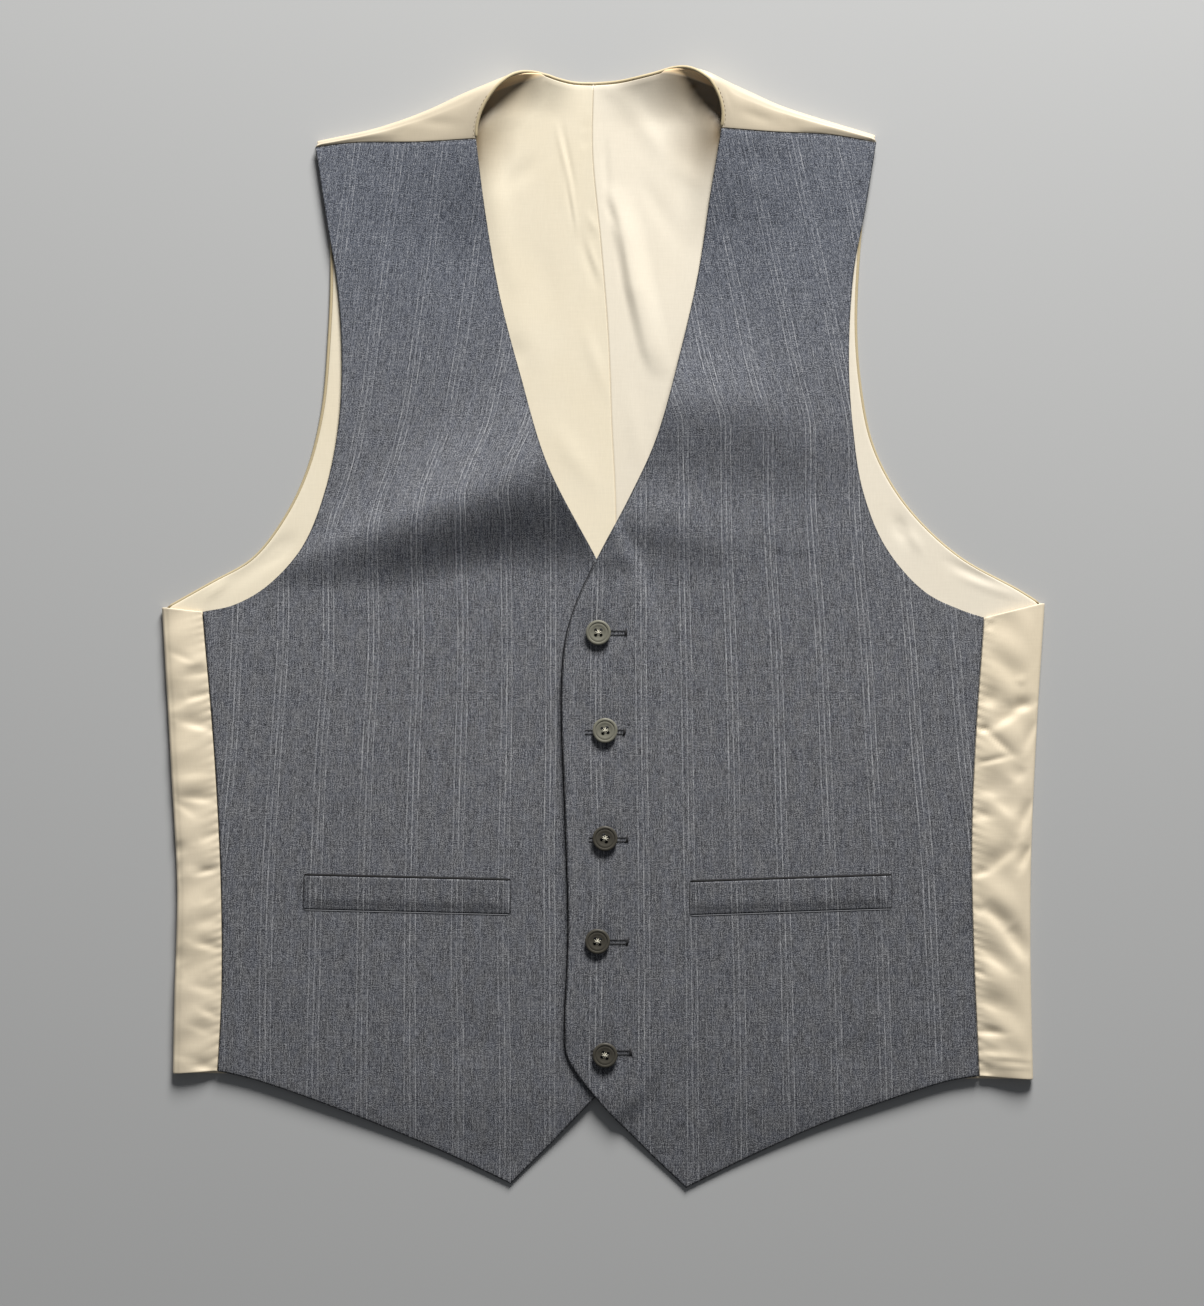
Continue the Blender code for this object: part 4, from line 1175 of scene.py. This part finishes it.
STRIPE_PITCH = 28.0

ARMHOLE_ROWS = 92
SIDE_ROWS = 85
FRONT_COLUMNS = 78


def crossing_at(line, level):
    """The fraction of the line's length where it first comes down to this y."""
    first = int(np.argmax(line[:, 1] <= level))
    above, below = line[first - 1], line[first]
    part = (above[1] - level) / (above[1] - below[1])
    measured = lengths(line)
    return (measured[first - 1] + part * (measured[first] - measured[first - 1])) / measured[-1]


def chest_fold(side, x, y):
    """The height of the fold across the chest."""
    table = np.array(sorted(CHEST_FOLD[side]))
    crest, height, above, below = (np.interp(x, table[:, 0], table[:, number]) for number in (1, 2, 3, 4))
    past = y - crest
    climb = np.clip(past / above, 0.0, 1.0)
    full = math.hypot(1.0, FOLD_ROUNDING) - FOLD_ROUNDING
    climb = (np.hypot(climb, FOLD_ROUNDING) - FOLD_ROUNDING) / full
    return height * np.where(past > 0, (1 - climb) ** 2, ease(1 + past / below))


def front_edge_x(side, y):
    """Where the front edge is at this height: where it first comes down to it."""
    edge = smooth_line(FRONT_EDGE[side])
    falling = np.argsort(-edge[:, 1], kind="stable")
    return np.interp(-y, -edge[falling, 1], edge[falling, 0])


def beyond_right_front(x, y):
    """How far a point lies outside the right front's front edge, 0 inside it."""
    distance = np.full(np.shape(x), np.inf)
    for edge_x, edge_y in smooth_line(FRONT_EDGE["right"]):
        distance = np.minimum(distance, np.hypot(x - edge_x, y - edge_y))
    return np.where(x > front_edge_x("right", y), distance, 0.0)


def front_floor(side, x, y):
    """The level under the cloth: what lies below it, the shoulder's rise and the chest's fold."""
    settling = FRONT_FLOOR * ease((SETTLE_START - y) / SETTLE_LENGTH)
    lying = FRONT_FLOOR - settling + shoulder_lift(side, x, y) + chest_fold(side, x, y)
    if side == "right":
        return lying
    step = OVERLAP_STEP + chest_fold("right", x, np.minimum(y, OVERLAP_TOP))
    curl = EDGE_CURL * np.exp(-(((x - front_edge_x("left", y)) / CURL_REACH) ** 2))
    curl = curl * ease((CURL_START - y) / CURL_START_LENGTH) * ease((y - CURL_END) / CURL_END_LENGTH)
    return lying + curl + step * ease(1 - (beyond_right_front(x, y) - STEP_MARGIN) / STEP_FALL)


def front_plan(side):
    """Rows run from the armhole and side seam to the front edge, shoulder to hem."""
    armhole, seam = smooth_line(FRONT_ARMHOLE[side]), smooth_line(SIDE_SEAM[side])
    edge = smooth_line(FRONT_EDGE[side])
    outer = np.vstack([
        along(armhole, np.linspace(0, 1, ARMHOLE_ROWS + 1)),
        along(seam, np.linspace(0, 1, SIDE_ROWS + 1))[1:],
    ])
    inner = along(edge, stops(ARMHOLE_ROWS, SIDE_ROWS, crossing_at(edge, seam[0, 1])))
    across = np.linspace(0, 1, FRONT_COLUMNS + 1)
    shoulder, hem = (along(smooth_line(table[side]), across) for table in (SHOULDER_SEAM, HEM))
    return fill(outer, inner, shoulder, hem)


# Each button presses its place down a little: the buttons' centres, and the hollow's depth and radius.
BUTTON_CENTRES = [(-3, -3), (1, -61.5), (1, -126), (-3.5, -187.5), (1, -255.5)]
BUTTON_HOLLOW = 1.2
BUTTON_HOLLOW_RADIUS = 11.0


def front_relief(side, x, y):
    """Swells and hollows of the lying cloth."""
    relief = creases(FRONT_CREASES[side], x, y) + creases(FRONT_SWELLS[side], x, y, SWELL_UPPER)
    if side == "left":
        for button_x, button_y in BUTTON_CENTRES:
            distance = np.hypot(x - button_x, y - button_y)
            relief = relief - BUTTON_HOLLOW * np.exp(-((distance / BUTTON_HOLLOW_RADIUS) ** 2))
    return relief


def front_faces(side, x, y):
    """The cloth's face and its underside: it is lifted by a swell, and only its face sinks in a hollow."""
    floor = front_floor(side, x, y)
    relief = front_relief(side, x, y)
    return floor + FRONT_WALL + relief, floor + np.maximum(relief, 0.0)


def front_top(side, x, y):
    return front_faces(side, x, y)[0]


def stripe_map(side):
    """A point's place on the cloth, across the stripes and along them."""
    courses = smooth_line(STRIPE_COURSES[side][::-1])

    def cloth_map(x, y):
        runs = [np.interp(y, courses[:, 0], courses[:, column]) for column in range(1, 5)]
        number = np.zeros_like(x)
        for here, group in zip(runs, STRIPE_NUMBERS):
            share = np.full_like(x, group)
            for other in runs:
                if other is not here:
                    share = share * (x - other) / (here - other)
            number += share
        return number * STRIPE_PITCH, y

    return cloth_map


# Lines of one stripe group: place across in millimetres from the group's middle, width, and how light it is.
STRIPE_LINES = [
    (-13.6, 0.42, 0.34), (-4.25, 0.45, -0.18), (-3.2, 0.45, 0.95), (-2.2, 0.4, -0.14), (0.0, 0.5, 1.0),
    (1.1, 0.4, -0.14), (2.0, 0.35, 0.22), (3.2, 0.45, 0.95), (4.2, 0.45, -0.20), (12.4, 0.4, 0.28),
]
RIB_PITCH = 2.3
# The ground down the cloth, with painted light in it: painted darker towards the hem, and darker with a
# painted bluish reflection towards the shoulders. Columns: y in millimetres, the colour, and how strongly the
# stripes show on it.
GROUND_TONES_AND_PAINTED_LIGHT = [
    (-300, (93, 94, 98), 0.6), (-190, (95, 96, 100), 0.7), (-60, (101, 102, 106), 0.9),
    (90, (99, 101, 107), 0.8), (260, (88, 93, 104), 0.55),
]
# The worsted's grains: their size across and along the cloth in millimetres, detail and offset.
FLECKS = (0.62, 0.62, 1.0, 0.0)
LENGTHWISE_YARNS = (0.7, 4.0, 1.0, 3.1)
CROSSWISE_YARNS = (4.5, 0.7, 1.0, 5.7)
SINGLE_YARNS = (0.62, 17.0, 1.0, 13.7)
CLOUDS = (7.0, 11.0, 2.0, 9.3)
STRIPE_WEAR = (2.2, 26.0, 2.0, 7.9)
STRIPE_BREAKS = (1.1, 2.4, 1.0, 11.3)


def ramp(tree, place, marks, interpolation):
    """A colour ramp. marks lists each stop's position and colour, in order."""
    made = add_node(tree, "ShaderNodeValToRGB", {"Fac": place})
    made.color_ramp.interpolation = interpolation
    elements = made.color_ramp.elements
    for index, (position, colour) in enumerate(marks):
        stop = elements[index] if index < 2 else elements.new(position)
        stop.position = position
        stop.color = colour
    return made.outputs


def stripe_marks():
    """The lines of one stripe group on its repeat, as stops: mid grey is bare ground."""
    marks = {0.0: 0.0, 1.0: 0.0}
    for middle, width, light in STRIPE_LINES:
        for step, share in ((-width, 0.0), (0.0, 1.0), (width, 0.0)):
            marks[0.5 + (middle + step) / STRIPE_PITCH] = light * share
    return [(position, (*[0.5 + light / 2] * 3, 1.0)) for position, light in sorted(marks.items())]


def worsted_weave():
    """Worsted: a fine mottled ground, yarns that run along and now and then across, and the stripes."""
    group, given = new_group("worsted weave", {
        "Tone": 1.0, "Blue yarn": rgb((90, 95, 109)), "Light yarn": rgb((184, 185, 188)),
        "Dark yarn": rgb((38, 39, 44)), "Stripes": 0.74, "Threads": 1.0,
    })
    place = add_node(group, "ShaderNodeUVMap", uv_map="cloth").outputs["UV"]
    across, along_cloth, _ = add_node(group, "ShaderNodeSeparateXYZ", {0: place}).outputs

    def grain(width, length, detail, offset):
        moved = add_node(group, "ShaderNodeVectorMath", {0: place, 1: (offset, offset, 0.0)}, operation="ADD")
        sizes = (1 / (width * MM), 1 / (length * MM), 1.0)
        return noise(group, stretched(group, moved.outputs[0], sizes), detail=detail, dimensions="2D")

    def product(*values):
        return maths(group, "MULTIPLY", *values)

    def total(*values):
        return maths(group, "ADD", *values)

    def about_nought(value, amount):
        return product(maths(group, "SUBTRACT", value, 0.5), amount)

    flecks, crosswise, clouds = (grain(*sizes) for sizes in (FLECKS, CROSSWISE_YARNS, CLOUDS))
    lowest, highest = GROUND_TONES_AND_PAINTED_LIGHT[0][0], GROUND_TONES_AND_PAINTED_LIGHT[-1][0]
    ground, stripe_strength = ramp(
        group, ranged(group, along_cloth, lowest * MM, highest * MM),
        [
            ((height - lowest) / (highest - lowest), (*rgb(colour)[:3], strength))
            for height, colour, strength in GROUND_TONES_AND_PAINTED_LIGHT
        ],
        "EASE",
    )

    repeat = maths(group, "FRACT", total(product(across, 1 / (STRIPE_PITCH * MM)), 0.5))
    lines = ranged(group, ramp(group, repeat, stripe_marks(), "LINEAR")["Color"], 0.0, 1.0, -1.0, 1.0)
    worn = product(
        ranged(group, grain(*STRIPE_WEAR), 0.34, 0.64, 0.45, 1.15),
        ranged(group, grain(*STRIPE_BREAKS), 0.3, 0.6, 0.5, 1.2),
    )
    stripes = product(product(lines, worn), product(given["Stripes"], stripe_strength))

    streak = total(about_nought(grain(*LENGTHWISE_YARNS), 0.68), about_nought(grain(*SINGLE_YARNS), 0.5))
    rib_phase = total(product(along_cloth, 2 * math.pi / (RIB_PITCH * MM)), product(clouds, 9.0))
    ribs = product(maths(group, "SINE", rib_phase), ranged(group, crosswise, 0.4, 0.7, 0.0, 0.10))
    yarns = total(total(about_nought(flecks, 1.62), streak), total(about_nought(crosswise, 0.3), ribs))
    light = total(product(yarns, given["Threads"]), stripes)

    colour = blended(group, ranged(group, clouds, 0.35, 0.7, 0.0, 0.34), ground, given["Blue yarn"])
    colour = scaled(group, colour, given["Tone"])
    colour = blended(group, ranged(group, light, 0.0, 1.0), colour, given["Light yarn"])
    colour = blended(group, ranged(group, light, 0.0, -0.40), colour, given["Dark yarn"])
    return put_out(group, colour, light, ranged(group, flecks, 0.2, 0.8, 0.78, 0.95))


WORSTED_WEAVE = worsted_weave()


def worsted(name, values, sheen=0.12, specular=0.25):
    return woven_material(
        name, WORSTED_WEAVE, values, bump_height=0.16, bump_strength=0.35,
        sheen=sheen, sheen_roughness=0.5, sheen_tint=rgb((215, 222, 235)), specular=specular,
    )


# The fronts' tones differ as painted light: the right is lighter and the left darker, against the key's
# fall-off.
WORSTED_SIDES_PAINTED_LIGHT = {
    "right": worsted("worsted right", {"Tone": 1.05}),
    "left": worsted("worsted left", {"Tone": 0.975}),
}
# The fronts' rolled rims get a much darker worsted: painted shade, the line of shadow along the cloth's
# edges.
EDGE_PAINTED_SHADE_WORSTED = worsted("worsted edge painted shade", {"Tone": 0.42, "Stripes": 0.3}, sheen=0.05, specular=0.15)


def make_front(side):
    plan = front_plan(side)
    x, y = plan[..., 0], plan[..., 1]
    cloth = Shell()
    face, underside = front_faces(side, x, y)
    cloth.add_quads(cloth.add_points(raised(plan, face), raised(plan, underside)))
    piece = cloth.make(f"front_{side}_worsted", WORSTED_SIDES_PAINTED_LIGHT[side], stripe_map(side), EDGE_PAINTED_SHADE_WORSTED)
    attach(piece, "root")
    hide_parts(f"front_{side}")


for side in SIDES:
    make_front(side)

# A fine near-black tube on the front below the overlap's edge is painted shadow, for the crevice where that
# edge
# turns under: the y where it starts and ends, and how far it lies inside the edge and above the cloth.
DARK_THREAD_AND_PAINTED_SHADOW = thread_material("dark thread and painted shadow", (36, 36, 39))
TURN_RADIUS = 0.34
TURN_ENDS = (39.0, -252.0)
TURN_POINTS = 150
TURN_INSET = 0.25
TURN_RISE = 0.2
turn_y = np.linspace(*TURN_ENDS, TURN_POINTS)
turn_x = front_edge_x("left", turn_y) - TURN_INSET
turn = raised(np.stack([turn_x, turn_y], axis=-1), front_top("right", turn_x, turn_y) + TURN_RISE)
edge_shadow_line = threads("front_edge_painted_shadow", [turn], TURN_RADIUS, DARK_THREAD_AND_PAINTED_SHADOW, sides=8)
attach(edge_shadow_line, "root")

# Pick stitches hold the turned edges of the armholes and side seams: their spacing, distance from the edge
# and half their length, where along the whole edge they start and end, and how far they dip and stand up.
PICK_SPACING = 4.6
PICK_INSET = 3.0
PICK_HALF = 0.5
PICK_ENDS = (0.01, 0.99)
PICK_DIP = 0.12
PICK_RISE = 0.08
PICK_RADIUS = 0.2
PICK_THREAD = thread_material("pick stitch thread", (58, 58, 61))


def pick_stitches(side):
    outer = np.vstack([smooth_line(FRONT_ARMHOLE[side]), smooth_line(SIDE_SEAM[side])[1:]])
    count = int(lengths(outer)[-1] / PICK_SPACING)
    line = along(outer, np.linspace(*PICK_ENDS, count))
    run = np.gradient(line, axis=0)
    run /= np.linalg.norm(run, axis=1, keepdims=True)
    inward = np.stack([-run[:, 1], run[:, 0]], axis=-1) * -SIDES[side]
    middle = line + inward * PICK_INSET
    strands = []
    for point, direction in zip(middle, run):
        level = float(front_top(side, *point))
        start, end = point - PICK_HALF * direction, point + PICK_HALF * direction
        strands.append([(*start, level - PICK_DIP), (*point, level + PICK_RISE), (*end, level - PICK_DIP)])
    return strands


for side in SIDES:
    picked = threads(f"pick_stitches_{side}", pick_stitches(side), PICK_RADIUS, PICK_THREAD, sides=5)
    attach(picked, "root")

# ---------------------------------------------------------------------------------------------------------
# The welts: a folded strip of the same worsted over each pocket's mouth, cut to match the stripes. It is
# seamed along its lower edge and tacked down at both ends, and its upper edge is open.

WELT_WALL = 1.2
# Corners: upper inner, upper outer, lower inner, lower outer.
WELT_CORNERS = {
    "right": [(-55.5, -151.5), (-179, -148.5), (-56, -171), (-179.5, -168)],
    "left": [(52, -152.5), (172.5, -148.5), (52, -171.5), (172.5, -167.5)],
}
WELT_COLUMNS = 62
WELT_ROWS = 12
# Thickness at the sewn edges, how far in from them it grows to the full wall, the gap below the sewn edge,
# and the share of the distance from the lower edge that counts.
WELT_EDGE_WALL = 0.4
WELT_EDGE_REACH = 3.0
WELT_EDGE_GAP = 0.08
WELT_SEWN_SHARE = 0.45
# The pocket's mouth, a near-black tube of painted shadow in the opening, the tacks at the welt's ends, dark
# thread that also stands in for the shade there, and the lip of its seam, a light tube of painted highlight,
# lie this far outside the welt.
MOUTH_RADIUS = 1.0
TACK_RADIUS = 0.3
MOUTH_OUTSIDE = 0.5
TACK_OUTSIDE = 0.2
LIP_OUTSIDE = 1.0

# The welts are a darker copy of the fronts' worsted: painted shade.
WELT_WORSTED_PAINTED_SHADE = worsted("welt worsted painted shade", {"Tone": 0.88})
# The pocket's mouth is painted shadow: a near-black tube where the opening lies in shade.
MOUTH_PAINTED_SHADOW = thread_material("pocket mouth painted shadow", (12, 12, 14))
# Painted highlight: a light tube for the cloth that catches the light just below the welt's seam.
LIP_PAINTED_HIGHLIGHT = thread_material("welt seam painted highlight", (116, 117, 121))


def make_welt(side):
    upper_inner, upper_outer, lower_inner, lower_outer = np.array(WELT_CORNERS[side])
    across = np.linspace(0, 1, WELT_COLUMNS + 1)[None, :, None]
    down = np.linspace(0, 1, WELT_ROWS + 1)[:, None, None]
    upper = (1 - across) * upper_inner + across * upper_outer
    lower = (1 - across) * lower_inner + across * lower_outer
    plan = (1 - down) * upper + down * lower
    length = np.linalg.norm(upper_outer - upper_inner)
    depth = np.linalg.norm(upper_inner - lower_inner)
    from_ends = np.minimum(across, 1 - across)[..., 0] * length
    from_sewn = np.minimum(from_ends, (1 - down)[..., 0] * depth * WELT_SEWN_SHARE)
    full = ease(from_sewn / WELT_EDGE_REACH)
    wall = WELT_EDGE_WALL + (WELT_WALL - WELT_EDGE_WALL) * full
    floor = front_top(side, plan[..., 0], plan[..., 1]) + WELT_EDGE_GAP + (GAP - WELT_EDGE_GAP) * full
    cloth = Shell()
    cloth.add_quads(cloth.add_points(raised(plan, floor + wall), raised(plan, floor)))
    piece = cloth.make(f"welt_{side}_worsted", WELT_WORSTED_PAINTED_SHADE, stripe_map(side))
    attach(piece, "root")
    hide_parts(f"welt_{side}")
    outwards = np.array([TACK_OUTSIDE * SIDES[side], 0.0])
    lines = {
        "pocket_mouth_painted_shadow": ([upper[0] + np.array([0.0, MOUTH_OUTSIDE])], MOUTH_RADIUS, MOUTH_PAINTED_SHADOW),
        "welt_tacks": ([plan[:, 0] - outwards, plan[:, -1] + outwards], TACK_RADIUS, DARK_THREAD_AND_PAINTED_SHADOW),
        "welt_seam_painted_highlight": ([lower[0] - np.array([0.0, LIP_OUTSIDE])], TACK_RADIUS, LIP_PAINTED_HIGHLIGHT),
    }
    for label, (courses, radius, material) in lines.items():
        strands = [raised(course, front_top(side, course[:, 0], course[:, 1])) for course in courses]
        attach(threads(f"{label}_{side}", strands, radius, material, sides=8), "root")


for side in SIDES:
    make_welt(side)

# ---------------------------------------------------------------------------------------------------------
# The buttons: 24 lines across, of glossy plastic that looks like horn, with a raised rim, a groove inside it
# and a dished middle with four holes, sewn on with pale thread. The upper two are painted lighter than the
# rest:
# a painted reflection.

# From the middle of the underside out and up to the middle of the face: radius and height.
BUTTON_PROFILE = [
    (0, 0), (5.4, 0), (6.6, 0.35), (7.3, 0.9), (7.5, 1.35), (7.5, 1.8), (7.35, 2.15), (7.05, 2.4), (6.7, 2.5),
    (6.3, 2.5), (6, 2.42), (5.85, 2.12), (5.65, 2.05), (5.45, 2.12), (5.1, 2.22), (4.4, 2.18), (3.9, 2.04),
    (3.6, 1.96), (1.5, 1.93), (0, 1.93),
]
BUTTON_SEGMENTS = 56
HOLE_RADIUS = 1.05
HOLE_OFFSET = 1.5
HOLE_SEGMENTS = 20
HOLE_REACH = 4.0
# Edges of the button sharper than this stay crisp.
CRISP_EDGE = math.radians(38)
HORN_STREAKS = (900.0, 260.0, 500.0)


def horn_grain():
    """Horn: streaks of two colours, drawn out across the button."""
    group, given = new_group("horn grain", {"Horn": rgb((125, 124, 113)), "Streak": rgb((96, 94, 82))})
    place = add_node(group, "ShaderNodeTexCoord").outputs["Object"]
    streak = noise(group, stretched(group, place, HORN_STREAKS), detail=3.0)
    colour = blended(group, streak, given["Horn"], given["Streak"])
    return put_out(group, colour, streak, ranged(group, streak, 0.0, 1.0, 0.34, 0.5))


HORN_GRAIN = horn_grain()


def horn(name, colour, streak):
    return woven_material(
        name, HORN_GRAIN, {"Horn": rgb(colour), "Streak": rgb(streak)}, bump_height=0.05, bump_strength=0.2,
        sheen=0.0, sheen_roughness=0.5, sheen_tint=rgb((255, 255, 255)), specular=0.3,
    )


# The upper buttons' paler horn is a painted reflection.
HORN_WITH_PAINTED_REFLECTION = horn("horn with painted reflection", (132, 131, 119), (106, 104, 92))
DARK_HORN = horn("dark horn", (82, 79, 71), (58, 55, 48))
BUTTON_FINISHES = [HORN_WITH_PAINTED_REFLECTION, HORN_WITH_PAINTED_REFLECTION, DARK_HORN, DARK_HORN, DARK_HORN]


def place_form(name, form):
    """An object from a form in the making."""
    mesh = bpy.data.meshes.new(name)
    form.to_mesh(mesh)
    form.free()
    return place_object(name, mesh)


def hole_pins():
    """Four upright pins where the button's holes are to be cut."""
    form = bmesh.new()
    for x in (-HOLE_OFFSET, HOLE_OFFSET):
        for y in (-HOLE_OFFSET, HOLE_OFFSET):
            pin = bmesh.ops.create_cone(
                form, cap_ends=True, segments=HOLE_SEGMENTS, depth=2 * HOLE_REACH * MM,
                radius1=HOLE_RADIUS * MM, radius2=HOLE_RADIUS * MM,
            )
            bmesh.ops.translate(form, verts=pin["verts"], vec=(x * MM, y * MM, 0.0))
    return place_form("button_hole_pins", form)


def turned_button(name, material):
    """The button's profile turned about its middle, without its holes."""
    form = bmesh.new()
    angles = 2 * math.pi * np.arange(BUTTON_SEGMENTS) / BUTTON_SEGMENTS
    rings = [
        [form.verts.new((radius * MM * math.cos(a), radius * MM * math.sin(a), height * MM)) for a in angles]
        for radius, height in BUTTON_PROFILE[1:-1]
    ]
    for lower, upper in zip(rings[:-1], rings[1:]):
        for here in range(BUTTON_SEGMENTS):
            after = (here + 1) % BUTTON_SEGMENTS
            form.faces.new((lower[here], lower[after], upper[after], upper[here]))
    form.faces.new(rings[0][::-1])
    form.faces.new(rings[-1])
    button = place_form(name, form)
    button.data.materials.append(material)
    return button


SEWING_THREAD = thread_material("sewing thread", (226, 222, 204))
THREAD_RADIUS = 0.18
# How each button has turned on its thread, in degrees.
BUTTON_TURNS = [0.0, 9.0, -24.0, -6.0, -14.0]
PINS = hole_pins()


def sewn_cross(centre_x, centre_y, level, turn):
    """Thread through the four holes: a pair of strands each way, drawn together over the middle."""
    near, out = 0.2, HOLE_OFFSET
    strands = []
    for sign in (-1, 1):
        course = [
            (sign * 0.95, -out - 0.3, level - 1.2), (sign * 0.6, -out, level + 0.02),
            (sign * near, -0.8, level + 0.2), (sign * near, 0.0, level + 0.25),
            (sign * near, 0.8, level + 0.2), (sign * 0.6, out, level + 0.02),
            (sign * 0.95, out + 0.3, level - 1.2),
        ]
        strands.append(course)
        strands.append([(y, x, z + THREAD_RADIUS) for x, y, z in course])
    cosine, sine = math.cos(math.radians(turn)), math.sin(math.radians(turn))
    return [
        [(centre_x + x * cosine - y * sine, centre_y + x * sine + y * cosine, z) for x, y, z in strand]
        for strand in strands
    ]


for number, ((x, y), finish, turn) in enumerate(zip(BUTTON_CENTRES, BUTTON_FINISHES, BUTTON_TURNS), start=1):
    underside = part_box(f"button_{number}")[0].z
    button = turned_button(f"button_{number}_horn", finish)
    cut = button.modifiers.new("holes", "BOOLEAN")
    cut.operation = "DIFFERENCE"
    cut.object = PINS
    bpy.context.view_layer.update()
    drilled = bpy.data.meshes.new_from_object(button.evaluated_get(bpy.context.evaluated_depsgraph_get()))
    button.modifiers.clear()
    button.data = drilled
    button.data.shade_smooth()
    button.data.set_sharp_from_angle(angle=CRISP_EDGE)
    button.rotation_euler = (0.0, 0.0, math.radians(turn))
    button.location = (x * MM, y * MM, underside)
    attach(button, "root")
    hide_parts(f"button_{number}")
    face = underside / MM + BUTTON_PROFILE[-1][1]
    sewn = threads(f"button_{number}_thread", sewn_cross(x, y, face, turn), THREAD_RADIUS, SEWING_THREAD)
    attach(sewn, "root")
bpy.data.objects.remove(PINS)

# ---------------------------------------------------------------------------------------------------------
# The buttonholes: cut in the left front and worked all round in dark thread, with a bar across the outer end.
# Each button has slid to where its shank pulls, so the hole shows on one side of it or on both.

# Columns: x of the inner end, x of the outer end and y.
BUTTONHOLES = [
    (-9.0, 13.5, -3.2), (-10.8, 12.6, -62.5), (-8.6, 14.2, -126.8),
    (-9.5, 14.4, -188.0), (-7.5, 16.4, -254.2),
]
# The stitches over each lip: their distance from the hole's middle, length and spacing, how far they stray,
# lean and stand up, and how far their ends dip into the cloth.
LIP_OFFSET = 1.15
LIP_STITCH = 0.95
LIP_SPACING = 0.62
LIP_STRAY = 0.12
LIP_LEAN = 0.08
LIP_RISE = 0.3
STITCH_DIP = 0.1
# The bar: its length, the places of its stitches about the hole's end, and how far they tilt and stand up.
BAR_LENGTH = 5.6
BAR_PLACES = (-0.5, 0.0, 0.5)
BAR_TILT = 0.5
BAR_RISE = 0.45
HOLE_THREAD_RADIUS = 0.32
HOLE_THREAD = thread_material("buttonhole thread", (44, 44, 46))


def stitch(x, y, lean, length, tilt, rise):
    """A stitch along y over the left front: it leans at its middle, and tilts from its start to its end."""
    level = float(front_top("left", np.array(x), np.array(y)))
    return [
        (x - tilt, y - length / 2, level - STITCH_DIP), (x + lean, y, level + rise),
        (x + tilt, y + length / 2, level - STITCH_DIP),
    ]


def worked_hole(start, end, middle):
    """The stitches of one buttonhole, each over the lip, and the bar's stitches."""
    strands = []
    for x in np.arange(start, end, LIP_SPACING):
        for sign in (-1, 1):
            y = middle + sign * (LIP_OFFSET + LIP_STRAY * math.sin(7.3 * x + sign))
            strands.append(stitch(x, y, LIP_LEAN, LIP_STITCH, 0.0, LIP_RISE))
    for step in BAR_PLACES:
        tilt = BAR_TILT * math.sin(3.1 * middle + step)
        strands.append(stitch(end + step, middle, 0.0, BAR_LENGTH, tilt, BAR_RISE))
    return strands


hole_stitches = [strand for row in BUTTONHOLES for strand in worked_hole(*row)]
buttonholes = threads("buttonholes", hole_stitches, HOLE_THREAD_RADIUS, HOLE_THREAD, sides=5)
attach(buttonholes, "root")

# ---------------------------------------------------------------------------------------------------------
# The studio: a plain pale floor, lit softly from beyond the neck and by a dim even sky, seen straight down.

FLOOR_HALF = 4.0
FLOOR_DROP = 0.0002
floor_mesh = bpy.data.meshes.new("floor")
corners = [(-FLOOR_HALF, -FLOOR_HALF, 0), (FLOOR_HALF, -FLOOR_HALF, 0), (FLOOR_HALF, FLOOR_HALF, 0)]
floor_mesh.from_pydata([*corners, (-FLOOR_HALF, FLOOR_HALF, 0)], [], [(0, 1, 2, 3)])
floor = place_object("floor", floor_mesh)
floor.location.z = -FLOOR_DROP
paint, tree, shader = new_material("floor paint", {"Roughness": 0.9, "Specular IOR Level": 0.2})
mottle = add_node(tree, "ShaderNodeTexNoise", {"Scale": 5.0, "Detail": 4.0}).outputs["Fac"]
tree.links.new(blended(tree, mottle, rgb((176, 177, 177)), rgb((186, 187, 188))), shader["Base Color"])
floor_mesh.materials.append(paint)

SKY_COLOUR = (0.93, 0.96, 1.0, 1.0)
SKY_STRENGTH = 0.11
sky = bpy.data.worlds.new("sky")
sky.use_nodes = True
background = sky.node_tree.nodes["Background"].inputs
background["Color"].default_value = SKY_COLOUR
background["Strength"].default_value = SKY_STRENGTH
bpy.context.scene.world = sky

# The key light's distance and size in metres, how high and how far round towards the wearer's left it stands.
KEY_DISTANCE = 2.7
KEY_SIZE = 1.15
KEY_ELEVATION = math.radians(26.5)
KEY_TURN = math.radians(11)
KEY_POWER = 140.0
KEY_COLOUR = (1.0, 0.985, 0.96)
key = bpy.data.lights.new("key", "AREA")
key.shape = "DISK"
key.size = KEY_SIZE
key.energy = KEY_POWER
key.color = KEY_COLOUR
key_object = place_object("key", key)
level = math.cos(KEY_ELEVATION)
towards_key = Vector((math.sin(KEY_TURN) * level, math.cos(KEY_TURN) * level, math.sin(KEY_ELEVATION)))
key_object.location = towards_key * KEY_DISTANCE
key_object.rotation_euler = towards_key.to_track_quat("Z", "Y").to_euler()

# The view straight down, in metres: its centre, how much of the ground it takes in, and the camera's height.
VIEW_CENTRE = (-0.0008, -0.0152)
VIEW_HEIGHT = 0.7836
CAMERA_HEIGHT = 1.9
camera = bpy.data.cameras.new("camera")
camera.sensor_width = 36.0
camera.lens = camera.sensor_width * CAMERA_HEIGHT / VIEW_HEIGHT
camera_object = place_object("camera", camera)
camera_object.location = (*VIEW_CENTRE, CAMERA_HEIGHT)
bpy.context.scene.camera = camera_object
bpy.context.scene.view_settings.view_transform = "Standard"
